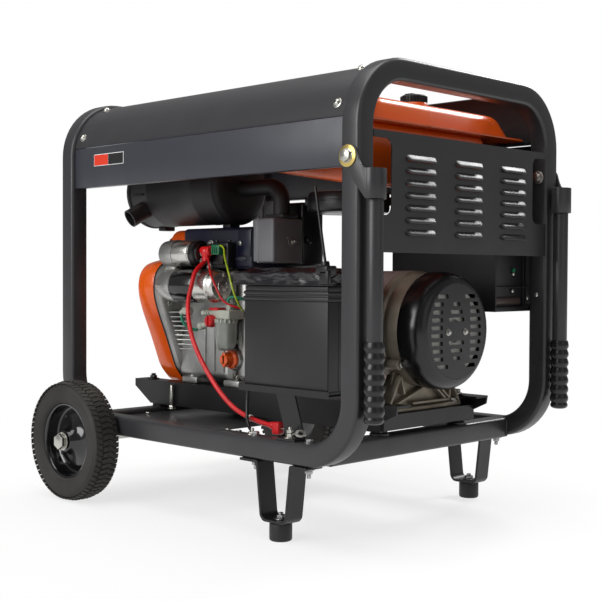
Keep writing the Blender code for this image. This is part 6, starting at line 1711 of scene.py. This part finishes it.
# %% Floor
floor_build = bmesh.new()
bmesh.ops.create_grid(floor_build, x_segments=1, y_segments=1, size=9.0)
floor_mesh = bpy.data.meshes.new("floor")
floor_build.to_mesh(floor_mesh)
floor_build.free()
floor = linked("floor", floor_mesh)
floor_paint = bpy.data.materials.new("white_studio_floor")
floor_paint.use_nodes = True
tree = floor_paint.node_tree
tree.nodes.clear()
light_path = add(tree, "ShaderNodeLightPath")
seen = add(tree, "ShaderNodeMath", {0: light_path.outputs["Is Camera Ray"],
                                    1: light_path.outputs["Is Glossy Ray"]}, operation="MAXIMUM")
seen = add(tree, "ShaderNodeMath", {0: seen.outputs["Value"],
                                    1: light_path.outputs["Is Transmission Ray"]}, operation="MAXIMUM")
far = add(tree, "ShaderNodeVectorMath", {0: add(tree, "ShaderNodeTexCoord").outputs["Object"]},
          operation="LENGTH")
white_out = add(tree, "ShaderNodeMapRange", {
    "Value": far.outputs["Value"], "From Min": 0.35, "From Max": 1.6, "To Min": 0.72, "To Max": 1.0})
share = add(tree, "ShaderNodeMath", {0: seen.outputs["Value"], 1: white_out.outputs["Result"]},
            operation="MULTIPLY")
bounce = add(tree, "ShaderNodeMix", {"Factor": seen.outputs["Value"], "A": linear("#a4a4a4"),
                                     "B": linear("#f4f4f4")}, data_type="RGBA")
matt = add(tree, "ShaderNodeBsdfDiffuse", {"Color": bounce.outputs["Result"]})
glow = add(tree, "ShaderNodeEmission", {"Color": (1, 1, 1, 1), "Strength": 1.0})
both = add(tree, "ShaderNodeMixShader", {0: share.outputs["Value"], 1: matt.outputs["BSDF"],
                                         2: glow.outputs["Emission"]})
add(tree, "ShaderNodeOutputMaterial", {"Surface": both.outputs["Shader"]})
floor_mesh.materials.append(floor_paint)
print("floor", floor.dimensions.x, "m across")

# %% Lamps and world
def soft_lamp(name, place, target, size, power):
    """A square area lamp aimed at a point."""
    data = bpy.data.lights.new(name, "AREA")
    data.size = size
    data.energy = power
    lamp = linked(name, data)
    aim = (Vector(target) - Vector(place)).to_track_quat("-Z", "Y").to_matrix().to_4x4()
    lamp.matrix_world = Matrix.Translation(place) @ aim
    return lamp


soft_lamp("key", (-0.3, -2.9, 1.5), (0, 0, 0.35), 1.8, 60)
soft_lamp("fill", (2.6, -0.2, 1.1), (0, 0, 0.35), 1.6, 3)
soft_lamp("overhead", (0.1, -0.3, 2.4), (0, 0, 0.4), 1.8, 30)
soft_lamp("back", (0.3, 2.3, 2.3), (0.3, 0, 0.5), 1.0, 60)
world = bpy.data.worlds.new("studio")
bpy.context.scene.world = world
world.use_nodes = True
tree = world.node_tree
tree.nodes.clear()
light_path = add(tree, "ShaderNodeLightPath")
seen = add(tree, "ShaderNodeMath", {0: light_path.outputs["Is Camera Ray"],
                                    1: light_path.outputs["Is Glossy Ray"]}, operation="MAXIMUM")
# a little dimmer in reflections than as light, so that dark paint keeps its depth
strength = add(tree, "ShaderNodeMapRange", {
    "Value": seen.outputs["Value"], "To Min": 0.32, "To Max": 0.24})
shown = add(tree, "ShaderNodeMath", {0: light_path.outputs["Is Camera Ray"], 1: strength.outputs["Result"]},
            operation="MAXIMUM")
sky = add(tree, "ShaderNodeBackground", {"Color": (1, 1, 1, 1), "Strength": shown.outputs["Value"]})
add(tree, "ShaderNodeOutputWorld", {"Surface": sky.outputs["Background"]})
bpy.context.scene.view_settings.view_transform = "Standard"
